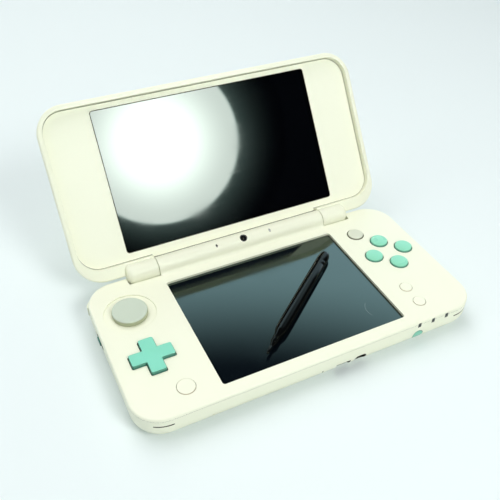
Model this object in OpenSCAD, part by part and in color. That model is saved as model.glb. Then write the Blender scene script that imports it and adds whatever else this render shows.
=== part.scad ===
// Clamshell handheld game console, millimetres.
// The origin is the centre of the base's underside, +X to the right and +Y towards the hinge.
// Lid parts are drawn shut on the base, then swung open about the hinge axis.

/* [Case] */
// Width of the base and the lid
body_w = 160; // [156:1:176]
// Depth of the base from its front edge to its back edge
body_d = 81; // [79:0.5:92]
// Height of the base from its underside to its top face
base_t = 12.8; // [12.6:0.1:16]
// Height of the lid from its rim to its back
lid_t = 7.5; // [7.3:0.1:10]
// Gap between the shut lid's rim and the base
lid_gap = 0.5; // [0.4:0.05:1]
// Corner radius of the outline
corner_r = 13; // [11:0.5:16]
// Radius of the long lower edge of the base
tuck_r = 6.5; // [5:0.1:7]
// Radius of the lid's outer edge
lid_edge_r = 3.8; // [2.5:0.1:4.5]
// Wall of the lower housing
wall = 1.5; // [1.2:0.1:1.8]
// Floor of the lower housing
floor_t = 1.1; // [1:0.1:1.4]
// Thickness of the top plate of the base
plate_t = 1.3; // [1.1:0.1:1.6]
// Thickness of the lid's back
lid_skin = 1.1; // [0.9:0.1:1.3]

/* [Hinge] */
// Radius of the hinge barrel and knuckles
hinge_r = 5; // [4.6:0.1:5.4]
// Distance of the hinge axis behind the base's back edge
hinge_back = 0.4; // [0.2:0.05:0.8]
// Height of the hinge axis above the base's top face
hinge_up = 0.8; // [0.4:0.1:1.2]
// Distance from the case's side to the end of the centre barrel
barrel_side = 36.15; // [34:0.05:40]
// Length of each lid knuckle
knuckle_len = 14.6; // [13:0.1:17]
// Gap beside and around the turning knuckles
hinge_gap = 0.35; // [0.3:0.05:0.5]
// Angle of the open lid, measured from shut
open_angle = 124.5; // [90:0.5:150]
// Radius of the detent unit's shaft
shaft_r = 2; // [1.6:0.1:2.4]
// Radius of the hollow pin
pin_r = 2.6; // [2.2:0.1:3]
// Radial play of a turning fit
run_gap = 0.06; // [0.03:0.01:0.1]

/* [Screens] */
// Width of the case beside the lower screen's window
touch_side = 36.6; // [35:0.1:40]
// Depth of the case in front of the lower window
touch_front = 5.95; // [4.5:0.05:8]
// Depth of the case behind the lower window
touch_back = 10.75; // [10.5:0.05:14]
// Width of the lid beside the upper glass
glass_side = 25.1; // [20:0.1:30]
// Depth of the lid in front of the upper glass, with the lid shut
glass_front = 5.3; // [5:0.1:10]
// Distance from the hinge axis to the upper glass
glass_off = 9.7; // [9:0.1:10.5]
// Depth of the lid's inner face below the rim
lid_recess = 2.95; // [2.5:0.05:3.2]
// Thickness of the upper glass
glass_t = 0.9; // [0.7:0.1:1]
// Thickness of the touch panel
touch_t = 0.9; // [0.7:0.1:1]
// Thickness of the upper display module
upper_lcd_t = 1.6; // [1.4:0.1:1.7]
// Thickness of the lower display module
lower_lcd_t = 1.8; // [1.4:0.1:2]

/* [Controls] */
// Place of the slide pad, from the left side and behind the middle
pad_place = [15.6, 18.2];
// Radius of the slide pad's cap
pad_r = 7.85; // [7:0.05:8.2]
// Radius of the dish around the slide pad
dish_r = 11.5; // [11.3:0.1:12]
// Travel of the slide pad each way
pad_travel = 2.4; // [1.5:0.1:2.5]
// Height of the slide pad above the top face
pad_up = 1.7; // [1.2:0.1:2]
// Place of the direction pad, from the left side and behind the middle
cross_place = [16.2, -9.1];
// Half span of the direction pad
cross_half = 9.2; // [8:0.1:9.6]
// Width of the direction pad's arms
cross_arm = 6.4; // [5.5:0.1:7]
// Height of the direction pad above the top face
cross_up = 1.6; // [1.2:0.1:1.9]
// Place of the centre of the four face buttons, from the right side and behind the middle
face_place = [17.4, 4.9];
// Distance of each face button from their centre
face_ring = 8.5; // [8:0.1:9]
// Radius of a face button
face_r = 4.2; // [3.6:0.1:4.4]
// Height of the face buttons above the top face
face_up = 1.2; // [0.9:0.1:1.5]
// Place of the pointing nub, from the right side and behind the middle
nub_place = [25.1, 22.8];
// Radius of the pointing nub
nub_r = 3.9; // [3.4:0.1:4.2]
// Place of the home button, from the left side and from the front
home_place = [23.1, 11.4];
// Radius of the home button
home_r = 3.8; // [3.4:0.1:4.2]
// Place of the select button, from the right side and from the front
select_place = [25, 21.1];
// Place of the start button, from the right side and from the front
start_place = [25, 11.1];
// Radius of the select and start buttons
menu_r = 2.8; // [2.4:0.1:3]
// Gap around each button
key_gap = 0.3; // [0.25:0.05:0.4]
// Travel of the face, home, select and start buttons
key_travel = 0.8; // [0.4:0.05:0.85]

/* [Edge parts] */
// Place of the stylus socket across the front
stylus_x = 17.7; // [16:0.1:20]
// Width of the stylus
stylus_w = 5.6; // [4.4:0.1:5.8]
// Thickness of the stylus across its flats
stylus_t = 4.3; // [3:0.1:4.3]
// Length of the stylus
stylus_len = 70; // [66:1:72]
// Turn of the stylus on the lower screen
stylus_turn = 39; // [30:1:50]
// Place of the audio jack across the front
jack_x = 9.2; // [8.5:0.1:9.4]
// Radius of the audio jack's bore
jack_r = 1.8; // [1.75:0.05:1.9]
// Depth of the audio jack's bore
jack_len = 14; // [12:0.5:16]
// Left end of the card cover
cover_x0 = -50.3; // [-52:0.1:-49]
// Right end of the card cover
cover_x1 = -1; // [-3:0.1:0]
// Height of the card cover's top edge
cover_z = 4.9; // [4.8:0.1:5.4]
// Distance from the right side to the first indicator light and the power button
light_side = 32.7; // [30:0.1:36]
// Spacing of the lights
light_step = 7.25; // [7:0.05:7.6]
// Half width of the power button
power_r = 2.5; // [2:0.1:2.8]
// Height of the power button's middle
power_z = 5.1; // [4.4:0.1:5.2]
// Place of the volume knob along the left side
volume_y = 13.6; // [13:0.1:15]
// Length of the volume knob
volume_len = 4; // [3.5:0.1:4.5]
// Travel of the volume knob each way
volume_travel = 3.4; // [2.5:0.1:3.5]
// How far the shoulder buttons stand out
shoulder_out = 1.4; // [1:0.1:1.8]

/* [Hidden] */
$fn = 64;

cream = "#efe9cf";
mint = "#6fd8b8";
ash = "#cfd2c4";
black = "#15171a";
steel = "#b9bcc0";
green = "#1f6b45";

play = 0.1;         // gap between parts that only lie beside each other
lay = 0.05;         // gap under a part that lies on another
edge_r = 0.9;       // rounding of the top face's outer edge
lip_h = 1.6;        // height of the lip inside the lower housing's wall
lip_t = 1;          // thickness of that lip
seam_z = base_t - plate_t;
axis_y = body_d / 2 + hinge_back;
axis_z = base_t + hinge_up;
rim_z = base_t + lid_gap;
back_z = rim_z + lid_t;
panel_z = rim_z + lid_recess;
front_y = -body_d / 2;
tuck_y = front_y + tuck_r;
rear_y = body_d / 2;
side_x = body_w / 2;
barrel_half = side_x - barrel_side;
touch_w = body_w - 2 * touch_side;
touch_d = body_d - touch_front - touch_back;
touch_fwd = (touch_back - touch_front) / 2;
glass_w = body_w - 2 * glass_side;
glass_h = axis_y - glass_off - front_y - glass_front;
pad_at = [-side_x + pad_place[0], pad_place[1]];
cross_at = [-side_x + cross_place[0], cross_place[1]];
face_at = [side_x - face_place[0], face_place[1]];
nub_at = [side_x - nub_place[0], nub_place[1]];
home_at = [-side_x + home_place[0], front_y + home_place[1]];
select_at = [side_x - select_place[0], front_y + select_place[1]];
start_at = [side_x - start_place[0], front_y + start_place[1]];
light_x = side_x - light_side;
knuckle_x0 = barrel_half + 0.3;
knuckle_x1 = knuckle_x0 + knuckle_len;
knuckle_edge = 2.6;  // rounding of a knuckle's outer end

// Board and what stands on it
board_t = 1;
board_z = seam_z - touch_t - lower_lcd_t - board_t - 0.9;
on_board = board_z + board_t + lay;
sheet_t = 0.4;      // thickness of the button membranes
dome_h = 0.4;       // height of a dome above its membrane
key_foot = on_board + sheet_t + dome_h + key_travel + lay;
flange_t = 0.9;
flange_z = seam_z - lay - flange_t;

// Slide pad
dish_depth = 0.6;
dish_t = 0.9;
pad_hole_r = 6.9;
pad_stem_r = 3.2;
pad_skirt_r = 9.6;
pad_skirt_t = 0.7;
pad_block = 6.2;
pad_side = 17;      // carriage across X
pad_deep = 14;      // carriage across Y
rail = 1;           // wall of the tray
dish_z = base_t - dish_depth;
skirt_z = dish_z - dish_t - 0.2 - pad_skirt_t;
carriage_t = 1.5;
carriage_z = skirt_z - 0.2 - carriage_t;
tray_t = 1.2;
tray_z = carriage_z - play - tray_t;

// Direction pad
ball_r = 1;
ball_z = on_board + ball_r;
cross_flange_r = cross_half + 0.7;
cross_flange_z = seam_z - 1.6;

// Stylus socket and jack, low in the front wall
socket_z = floor_t + 0.5 + (stylus_t + 0.3) / 2;
jack_body = 7.2;
jack_mouth = 7;
jack_face = tuck_y - 3.4;
jack_z = floor_t + 0.6 + jack_r;
mouth_back = tuck_y;

// Screws
screw_at = [
    [-side_x + 5.5, 4.5], [-side_x + 8, front_y + 18.5],
    [side_x - 6, front_y + 26.5], [side_x - 7, rear_y - 18.5]
];
screw_head_r = 2.2;
screw_r = 1;
boss_r = 2.2;

// Card bay
cover_t = 1.2;
cover_mid = tuck_r - cover_t / 2;
cover_a0 = asin((tuck_r - cover_z) / tuck_r);
cover_a1 = 59.5;
game_w = 33.4;
game_d = 30;        // depth of the game card's socket
game_x0 = cover_x0 + 0.4;
game_x1 = game_x0 + game_w + 2;
memory_x0 = game_x1 + 0.3;
memory_x1 = cover_x1 - 0.4;

// Shoulder buttons
shoulder_in = 4.6;  // depth of a shoulder button inside the outline
shoulder_gap = 0.5;
shoulder_z0 = 4.6;
shoulder_z1 = 9.6;
inner_z1 = axis_z - hinge_r - hinge_gap - 0.55;
outer_x0 = side_x - 18.5;
inner_x1 = outer_x0 - 1.5;
inner_x0 = inner_x1 - 14;
corner_x = side_x - corner_r;
corner_y = rear_y - corner_r;
outer_y0 = corner_y + 4.5;
outer_pivot = [corner_x + 7.6, corner_y + 7];
inner_pivot = [inner_x1 - 2, rear_y - 3];
pivot_pin_r = 0.6;

camera_tilt = 28;   // lean of the barrel camera from straight up
camera_r = 1.5;
sensor_x = 14.2;
rear_camera_at = [[-24.5, rear_y - 9.5], [10.5, rear_y - 9.5]];
rear_lens_r = 3.2;
speaker = [8, 9.5, 5.6];
speaker_at = [side_x - 10.9, front_y + 10.4];
light_w = 1.5;
light_deep = 5;     // reach of a light pipe's window behind the front
slit_z = 8.4;
slit_h = 0.55;

// Upper glass, with the lid shut
glass_y = axis_y - glass_off - glass_h / 2;
bezel_t = 1.5;
seat = 2;           // width of the shell's step that the bezel lies on
bezel_back = panel_z + bezel_t;
pocket_side = 2.3;
pocket_front = front_y + 2.4;
pocket_rear = axis_y - hinge_r - 0.85;
pocket_r = 10.2;
ledge = 2.5;

// ---- shared shapes ----

// Half section of a plate's edge: r deep and h high, rounded below and above
module edge_section(r, h, low, high) {
    translate([0, low]) square([r, h - low - high]);
    if (low > 0) {
        square([r - low, low]);
        translate([r - low, low]) intersection() {
            circle(low);
            translate([0, -low]) square(low);
        }
    }
    if (high > 0) {
        translate([0, h - high]) square([r - high, high]);
        translate([r - high, h - high]) intersection() {
            circle(high);
            square(high);
        }
    }
}

// Plate with round corners and rounded lower and upper edges
module slab(w, d, r, h, low = 0, high = 0) {
    linear_extrude(h) square([w - 2 * r, d - 2 * r], center = true);
    for (sx = [0, 1], sy = [0, 1]) mirror([sx, 0, 0]) mirror([0, sy, 0])
        translate([w / 2 - r, d / 2 - r, 0]) rotate_extrude(angle = 90) edge_section(r, h, low, high);
    for (s = [0, 1]) {
        mirror([s, 0, 0]) translate([w / 2 - r, d / 2 - r, 0]) rotate([90, 0, 0])
            linear_extrude(d - 2 * r) edge_section(r, h, low, high);
        mirror([0, s, 0]) translate([-w / 2 + r, d / 2 - r, 0]) rotate([90, 0, 90])
            linear_extrude(w - 2 * r) edge_section(r, h, low, high);
    }
}

// Rectangle with round corners
module round_rect(w, d, r) {
    square([w - 2 * r, d], center = true);
    square([w, d - 2 * r], center = true);
    for (sx = [-1, 1], sy = [-1, 1]) translate([sx * (w / 2 - r), sy * (d / 2 - r)]) circle(r);
}

// Block from its low corner to its high corner
module block(a, b) {
    translate(a) cube(b - a);
}

// Cylinder along X from x0 to x1 about the hinge axis
module along_axis(r, x0, x1) {
    translate([x0, axis_y, axis_z]) rotate([0, 90, 0]) cylinder(r = r, h = x1 - x0);
}

// Cylinder out through the barrel's front at the camera's lean
module out_of_barrel(r, a, b, x = 0) {
    translate([x, axis_y, axis_z]) rotate([camera_tilt, 0, 0]) translate([0, 0, a]) cylinder(r = r, h = b - a);
}

// Post from z0 to z1
module post(at, r, z0, z1) {
    translate([at[0], at[1], z0]) cylinder(r = r, h = z1 - z0);
}

// Swings the lid's parts from shut to open about the hinge axis
module opened() {
    translate([0, axis_y, axis_z]) rotate([-open_angle, 0, 0]) translate([0, -axis_y, -axis_z]) children();
}

// Flat-sided round section of the stylus, grown by g
module stylus_section(g) {
    intersection() {
        circle(stylus_w / 2 + g);
        square([stylus_w + 4 * g + 1, stylus_t + 2 * g], center = true);
    }
}

// Outer form of the base, grown or shrunk by g
module base_form(g, h) {
    slab(body_w + 2 * g, body_d + 2 * g, corner_r + g, h, low = tuck_r + g);
}

// Section of the lower front edge between two radii and two angles below level
module tuck_sector(r0, r1, a0, a1) {
    translate([tuck_y, tuck_r]) intersection() {
        difference() {
            circle(r1);
            circle(r0);
        }
        polygon([
            [0, 0],
            [-2 * r1 * cos(a0), -2 * r1 * sin(a0)],
            [-2 * r1 * cos((a0 + a1) / 2), -2 * r1 * sin((a0 + a1) / 2)],
            [-2 * r1 * cos(a1), -2 * r1 * sin(a1)]
        ]);
    }
}

// Stands a section drawn in Y and Z up along X
module run_x(x0, x1) {
    translate([x0, 0, 0]) rotate([90, 0, 90]) linear_extrude(x1 - x0) children();
}

// ---- base housings ----

module shoulder_window() {
    for (s = [0, 1]) mirror([s, 0, 0]) {
        block([outer_x0 - shoulder_gap, outer_y0 - shoulder_gap, shoulder_z0 - key_gap],
            [body_w, body_d, shoulder_z1 + key_gap]);
        block([inner_x0 - shoulder_gap, rear_y - shoulder_in, shoulder_z0 - key_gap],
            [inner_x1 + shoulder_gap, body_d, inner_z1 + key_gap]);
    }
}

module speaker_slits() {
    for (s = [0, 1]) mirror([s, 0, 0]) translate([corner_x, -corner_y, slit_z]) rotate([0, 0, -93])
        rotate_extrude(angle = 36) translate([corner_r - wall - 1, 0]) square([wall + 2, slit_h]);
}

module light_windows(top) {
    for (i = [0 : 2])
        block([light_x + i * light_step - light_w / 2 - lay, front_y - 1, seam_z - 1.65],
            [light_x + i * light_step + light_w / 2 + lay, front_y + light_deep, top]);
}

module volume_window() {
    half = volume_len / 2 + volume_travel;
    block([-body_w, volume_y - half - 0.2, 5.4], [-side_x + 0.8, volume_y + half + 0.2, 8.2]);
    block([-body_w, volume_y - half + 0.8, 5.9], [-side_x + wall + 1, volume_y + half - 0.8, 7.2]);
}

module base_bottom_housing() color(cream) difference() {
    union() {
        difference() {
            base_form(0, seam_z);
            translate([0, 0, floor_t])
                slab(body_w - 2 * wall, body_d - 2 * wall, corner_r - wall, seam_z, low = tuck_r - wall);
        }
        intersection() {
            base_form(0, seam_z - 1);
            union() {
                // blocks that hold the mouths of the stylus socket and the jack
                block([stylus_x - 4.2, front_y, 0], [stylus_x + 4.2, mouth_back - lay, socket_z + stylus_t / 2 + 0.6]);
                block([jack_x - 4.9, front_y, 0], [jack_x + 4.9, jack_face + 1, 6.6]);
                // bosses of the shoulder buttons' pins
                for (s = [-1, 1], p = [outer_pivot, inner_pivot])
                    post([s * p[0], p[1]], 1.5, 0, shoulder_z0 - key_gap - lay);
                // rings around the screw heads
                for (p = screw_at) post(p, screw_head_r + 1.1, 0, 3.2);
                // posts under the slide pad's tray
                for (sx = [-1, 1], sy = [-1, 1])
                    post([pad_at[0] + sx * 9, pad_at[1] + sy * 6], 1.4, 0, tray_z);
            }
        }
    }
    along_axis(hinge_r + play, -barrel_half - 1, barrel_half + 1);
    for (s = [0, 1]) mirror([s, 0, 0])
        along_axis(hinge_r + hinge_gap, barrel_half, knuckle_x1 + hinge_gap);
    shoulder_window();
    speaker_slits();
    light_windows(base_t);
    volume_window();
    // card bay behind the cover, with the cover's pivot holes
    run_x(cover_x0 - key_gap, cover_x1 + key_gap) {
        tuck_sector(tuck_r - wall - 1.5, tuck_r + 2, cover_a0 - 3, cover_a1);
        translate([tuck_y - cover_mid * cos(cover_a1), tuck_r - cover_mid * sin(cover_a1)]) circle(0.85);
    }
    translate([cover_x0 - 1.2, tuck_y - cover_mid * cos(cover_a1), tuck_r - cover_mid * sin(cover_a1)])
        rotate([0, 90, 0]) cylinder(r = 0.46, h = cover_x1 - cover_x0 + 2.4);
    // mouths of the stylus socket, the jack and the power button
    translate([stylus_x, mouth_back + 1, socket_z]) rotate([90, 0, 0]) linear_extrude(20) stylus_section(0.15);
    block([jack_x - jack_mouth / 2, front_y - 1, floor_t + 0.1],
        [jack_x + jack_mouth / 2, jack_face, jack_z + jack_r + 0.1]);
    block([jack_x - jack_body / 2 - lay, jack_face - lay, floor_t + 0.1],
        [jack_x + jack_body / 2 + lay, jack_face + 6, seam_z]);
    translate([light_x, tuck_y, power_z]) rotate([90, 0, 0]) cylinder(r = power_r + 0.2, h = 10);
    // charging port in the back wall
    block([-4.3, rear_y - 6, 3.4], [4.3, body_d, 6.8]);
    for (p = rear_camera_at) post(p, rear_lens_r + play, -1, 2);
    for (p = screw_at) {
        post(p, screw_head_r + play, -1, 1.6);
        post(p, screw_r + play, -1, 4);
    }
    for (s = [-1, 1], p = [outer_pivot, inner_pivot])
        post([s * p[0], p[1]], pivot_pin_r + 0.03, 2.9 - lay, shoulder_z1);
}

module base_top_housing() color(cream) difference() {
    union() {
        translate([0, 0, seam_z]) slab(body_w, body_d, corner_r, plate_t, high = edge_r);
        translate([0, 0, seam_z - lip_h]) difference() {
            slab(body_w - 2 * wall - 2 * play, body_d - 2 * wall - 2 * play, corner_r - wall - play, lip_h);
            translate([0, 0, -1]) slab(body_w - 2 * (wall + play + lip_t), body_d - 2 * (wall + play + lip_t),
                corner_r - wall - play - lip_t, lip_h + 1);
        }
        post(pad_at, dish_r + 0.9, dish_z - dish_t, base_t - 0.1);
        for (p = screw_at) post(p, boss_r, 3.2, seam_z + 0.2);
        along_axis(hinge_r, -barrel_half, barrel_half);
        run_x(-barrel_half, barrel_half) barrel_root();
    }
    // hinge channels beside the barrel
    for (s = [0, 1]) mirror([s, 0, 0])
        along_axis(hinge_r + hinge_gap, barrel_half, knuckle_x1 + hinge_gap);
    // lower screen's window
    translate([0, -touch_fwd, seam_z - 1]) linear_extrude(plate_t + 2) round_rect(touch_w, touch_d, 1.2);
    // slide pad's dish and hole
    post(pad_at, dish_r, dish_z, base_t + 1);
    post(pad_at, pad_hole_r, 0, base_t + 1);
    // keys
    translate([cross_at[0], cross_at[1], seam_z - 1]) linear_extrude(plate_t + 2) cross_outline(0.35);
    for (a = [0 : 90 : 270])
        post(face_at + face_ring * [cos(a), sin(a)], face_r + key_gap, seam_z - 1, base_t + 1);
    post(nub_at, nub_r + key_gap, seam_z - 1, base_t + 1);
    post(home_at, home_r + key_gap / 2, seam_z - 1, base_t + 1);
    post(select_at, menu_r + key_gap / 2, seam_z - 1, base_t + 1);
    post(start_at, menu_r + key_gap / 2, seam_z - 1, base_t + 1);
    light_windows(base_t - 0.55);
    for (p = screw_at) post(p, screw_r + 0.05, 3, 10.6);
    // bores of the barrel: camera bay, detent unit, hollow pin and cable
    along_axis(hinge_r - 1.4, -20, 20);
    block([-20, rear_y - 6, seam_z - 4], [20, axis_y, seam_z - 0.2]);
    along_axis(hinge_r - 1.7, 24, barrel_half + 1);
    along_axis(pin_r + lay, -barrel_half - 1, -30);
    along_axis(1.4, -31, -19);
    out_of_barrel(camera_r + play, 0, 10);
    for (s = [-1, 1]) out_of_barrel(0.55, 0, 10, s * sensor_x);
}

// Section of the fillet between the top face and the front of the barrel
module barrel_root() {
    fillet = 2;
    rise = base_t + fillet - axis_z;
    reach = sqrt(pow(hinge_r + fillet, 2) - rise * rise);
    touch_z = axis_z + hinge_r * rise / (hinge_r + fillet);
    difference() {
        translate([axis_y - reach, seam_z]) square([reach, touch_z - seam_z]);
        translate([axis_y - reach, base_t + fillet]) circle(fillet);
    }
}

// ---- screens and inner parts of the base ----

module touch_panel() color(black)
    translate([0, -touch_fwd, seam_z - touch_t]) linear_extrude(touch_t) round_rect(touch_w + 4, touch_d + 4, 2);

module lower_display() color(steel)
    translate([0, -touch_fwd, seam_z - touch_t - lay - lower_lcd_t])
        linear_extrude(lower_lcd_t) round_rect(touch_w + 1.5, touch_d + 2, 1);

module mainboard() color(green) difference() {
    translate([0, 0, board_z]) linear_extrude(board_t) polygon([
        [-side_x + 15, front_y + 6.5], [side_x - 15, front_y + 6.5],
        [side_x - 15, front_y + 16.5], [side_x - 4, front_y + 16.5],
        [side_x - 4, rear_y - 12.5], [side_x - 20, rear_y - 12.5],
        [side_x - 20, rear_y - 7], [-side_x + 30, rear_y - 7],
        [-side_x + 30, 1.6], [-side_x + 4, 1.6],
        [-side_x + 4, front_y + 16.5], [-side_x + 15, front_y + 16.5]
    ]);
    for (p = screw_at) post(p, boss_r + 0.3, 0, base_t);
}

module processor_shield() color(steel)
    block([side_x - 54, -6, board_z - lay - 2.6], [side_x - 22, 22, board_z - lay]);

module wireless_module() color(black)
    block([side_x - 50, front_y + 16.5, board_z - lay - 1.8], [side_x - 34, front_y + 30.5, board_z - lay]);

module battery() color(ash) {
    x0 = -side_x + 33;
    x1 = side_x - 68;
    y0 = mouth_back + game_d + 2;
    y1 = rear_y - 13.5;
    translate([(x0 + x1) / 2, (y0 + y1) / 2, floor_t + lay])
        slab(x1 - x0, y1 - y0, 2, board_z - floor_t - 2 * lay - 0.4, low = 1, high = 1);
}

module game_card_socket() color(steel) difference() {
    block([game_x0, mouth_back, floor_t], [game_x1, mouth_back + game_d, floor_t + 4.9]);
    block([game_x0 + 1, mouth_back - 1, floor_t + 0.3], [game_x1 - 1, mouth_back + game_d - 1.5, floor_t + 4.2]);
}

module memory_card_socket() color(steel) difference() {
    block([memory_x0, mouth_back, floor_t], [memory_x1, mouth_back + 16, floor_t + 2.4]);
    block([memory_x0 + 0.6, mouth_back - 1, floor_t + 0.6], [memory_x1 - 0.6, mouth_back + 15, floor_t + 1.8]);
}

module card_cover() color(cream) {
    run_x(cover_x0, cover_x1) {
        tuck_sector(tuck_r - cover_t, tuck_r, cover_a0, cover_a1);
        translate([tuck_y - cover_mid * cos(cover_a1), tuck_r - cover_mid * sin(cover_a1)]) circle(cover_t / 2);
    }
    translate([cover_x0 - 1, tuck_y - cover_mid * cos(cover_a1), tuck_r - cover_mid * sin(cover_a1)])
        rotate([0, 90, 0]) cylinder(r = 0.4, h = cover_x1 - cover_x0 + 2);
}

module stylus_sleeve() color(cream) difference() {
    block([stylus_x - stylus_w / 2 - 0.9, mouth_back, floor_t],
        [stylus_x + stylus_w / 2 + 0.9, mouth_back + stylus_len - 3, socket_z + stylus_t / 2 + 0.7]);
    translate([stylus_x, mouth_back + stylus_len - 4, socket_z]) rotate([90, 0, 0])
        linear_extrude(stylus_len) stylus_section(0.15);
}

// Drawn upright about Z with its tip down, then laid on the lower screen
module stylus() color(black)
    translate([-21.2, -28.4, seam_z + stylus_t / 2 + lay]) rotate([0, 0, stylus_turn]) rotate([0, 90, 0]) {
        nib = 4;
        intersection() {
            rotate_extrude() polygon([
                [0, 0], [0.5, 0.1], [0.75, 0.5], [1.1, nib], [1.5, nib + 0.1],
                [stylus_w / 2, nib + 7], [stylus_w / 2, stylus_len - 1.2],
                [stylus_w / 2 - 0.8, stylus_len], [0, stylus_len]
            ]);
            translate([0, 0, -1]) linear_extrude(stylus_len + 2)
                square([stylus_t, stylus_w + 2], center = true);
        }
    }

module audio_jack() color(black) difference() {
    block([jack_x - jack_body / 2, jack_face, floor_t + 0.15],
        [jack_x + jack_body / 2, jack_face + jack_len + 1.5, jack_z + jack_r + 0.5]);
    translate([jack_x, jack_face + jack_len, jack_z]) rotate([90, 0, 0]) cylinder(r = jack_r, h = jack_len + 1);
}

module charging_port() color(steel) difference() {
    block([-4.2, rear_y - 9, 3.5], [4.2, rear_y - 1.3, 6.7]);
    block([-3.6, rear_y - 8, 4], [3.6, rear_y, 6.2]);
}

module speakers() color(black) for (s = [-1, 1])
    translate([s * speaker_at[0], speaker_at[1], floor_t + 0.8]) slab(speaker[0], speaker[1], 1.5, speaker[2]);

module light_pipes() color(black) for (i = [0 : 2]) translate([light_x + i * light_step, front_y, 0]) {
    block([-light_w / 2, lay, seam_z - 1.6], [light_w / 2, light_deep - lay, base_t - 0.6]);
    block([-light_w / 2, light_deep - 1, seam_z - 1.6], [light_w / 2, light_deep + 2.2, seam_z - lay]);
    block([-light_w / 2, light_deep + 0.9, on_board], [light_w / 2, light_deep + 2.2, seam_z - 1]);
}

// ---- slide pad ----

module slide_pad_tray() color(ash) translate([pad_at[0], pad_at[1], tray_z]) {
    hx = pad_side / 2 + pad_travel + 0.2;
    hy = pad_deep / 2 + 0.05;
    difference() {
        block([-hx - rail, -hy - rail, 0], [hx + rail, hy + rail, tray_t + carriage_t + play + lay]);
        block([-hx, -hy, tray_t], [hx, hy, 10]);
    }
}

module slide_pad_carriage() color(black) translate([pad_at[0], pad_at[1], carriage_z]) difference() {
    block([-pad_side / 2, -pad_deep / 2, 0], [pad_side / 2, pad_deep / 2, carriage_t]);
    block([-pad_block / 2 - 0.05, -pad_block / 2 - pad_travel - 0.2, -1],
        [pad_block / 2 + 0.05, pad_block / 2 + pad_travel + 0.2, 5]);
}

module slide_pad_cap() color(ash) translate([pad_at[0], pad_at[1], 0]) {
    difference() {
        translate([0, 0, dish_z + play]) rotate_extrude()
            edge_section(pad_r, pad_up + dish_depth - play, 0, 0.7);
        translate([0, 0, base_t + pad_up + 45.5]) sphere(r = 46, $fn = 128);
    }
    post([0, 0], pad_stem_r, skirt_z, dish_z + play);
    post([0, 0], pad_skirt_r, skirt_z, skirt_z + pad_skirt_t);
    block([-pad_block / 2, -pad_block / 2, carriage_z + 0.1], [pad_block / 2, pad_block / 2, skirt_z]);
}

// ---- direction pad ----

module cross_outline(g) {
    long = 2 * (cross_half + g);
    short = cross_arm + 2 * g;
    round_rect(long, short, 0.7);
    round_rect(short, long, 0.7);
}

module direction_membrane() color(ash) translate([cross_at[0], cross_at[1], on_board]) difference() {
    union() {
        cylinder(r = cross_flange_r, h = sheet_t);
        for (a = [0 : 90 : 270]) rotate([0, 0, a]) translate([6.4, 0, 0]) cylinder(r = 2, h = sheet_t + dome_h);
    }
    translate([0, 0, -1]) cylinder(r = ball_r + 0.6, h = 3);
}

module direction_pivot() color(steel) translate([cross_at[0], cross_at[1], ball_z]) sphere(r = ball_r);

module direction_pad() color(mint) translate([cross_at[0], cross_at[1], 0]) difference() {
    union() {
        translate([0, 0, cross_flange_z]) cylinder(r = cross_flange_r, h = 0.8);
        translate([0, 0, ball_z - 0.3]) cylinder(r = 2.6, h = cross_flange_z - ball_z + 0.5);
        translate([0, 0, cross_flange_z]) linear_extrude(base_t + cross_up - cross_flange_z) cross_outline(0);
    }
    translate([0, 0, ball_z]) sphere(r = ball_r + run_gap);
    // shallow hollow in the middle
    translate([0, 0, base_t + cross_up + 11.6]) sphere(r = 12, $fn = 128);
}

// ---- keys ----

// Round key: cap of radius r that ends at height top, with its flange and foot
module key(at, r, top, foot) translate([at[0], at[1], 0]) {
    translate([0, 0, flange_z]) rotate_extrude() edge_section(r, top - flange_z, 0, 0.4);
    post([0, 0], r + 0.8, flange_z, flange_z + flange_t);
    post([0, 0], foot, key_foot, flange_z);
}

module membrane_dome(at, r) post(at, r, on_board, on_board + sheet_t + dome_h);

module face_membrane() color(ash) {
    post(face_at, 13.4, on_board, on_board + sheet_t);
    for (a = [0 : 90 : 270]) membrane_dome(face_at + face_ring * [cos(a), sin(a)], 2.4);
}

module face_button(a) color(mint) key(face_at + face_ring * [cos(a), sin(a)], face_r, base_t + face_up, 2.4);
module right_button() face_button(0);
module top_button() face_button(90);
module left_button() face_button(180);
module bottom_button() face_button(270);

module nub_sensor() color(black) post(nub_at, 5, on_board, on_board + 1);

module nub_cap() color(ash) translate([nub_at[0], nub_at[1], on_board + 1])
    rotate_extrude() edge_section(nub_r, base_t + 1 - on_board - 1, 0, 0.8);

module home_membrane() color(ash) {
    post(home_at, 5.2, on_board, on_board + sheet_t);
    membrane_dome(home_at, 1.8);
}

module home_button() color(cream) key(home_at, home_r, base_t + 0.05, 1.8);

module menu_membrane() color(ash) {
    block([select_at[0] - 4.5, start_at[1] - 3.7, on_board],
        [select_at[0] + 4.5, select_at[1] + 3.7, on_board + sheet_t]);
    membrane_dome(select_at, 1.6);
    membrane_dome(start_at, 1.6);
}

module select_button() color(cream) key(select_at, menu_r, base_t + 0.05, 1.6);
module start_button() color(cream) key(start_at, menu_r, base_t + 0.05, 1.6);

// ---- edge parts ----

module power_switch() color(black)
    block([light_x - 3, tuck_y - 1.7, power_z - 1.4], [light_x + 3, tuck_y + 1, board_z - lay]);

module power_button() color(mint) {
    intersection() {
        translate([light_x, tuck_y - 2.6, power_z]) rotate([90, 0, 0]) cylinder(r = power_r, h = 10);
        base_form(0.1, seam_z);
    }
    block([light_x - 3.4, tuck_y - 3.1, power_z - 0.9], [light_x + 3.4, tuck_y - 2.2, power_z + 0.9]);
}

module volume_slider() color(black) difference() {
    block([-side_x + wall + 0.2, volume_y - 6.5, 5.2], [-side_x + wall + 3.2, volume_y + 6.5, 7.1]);
    block([-side_x, volume_y - 1.2 - volume_travel, 5.95],
        [-side_x + wall + 1.7, volume_y + 1.2 + volume_travel, 7.15]);
}

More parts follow.
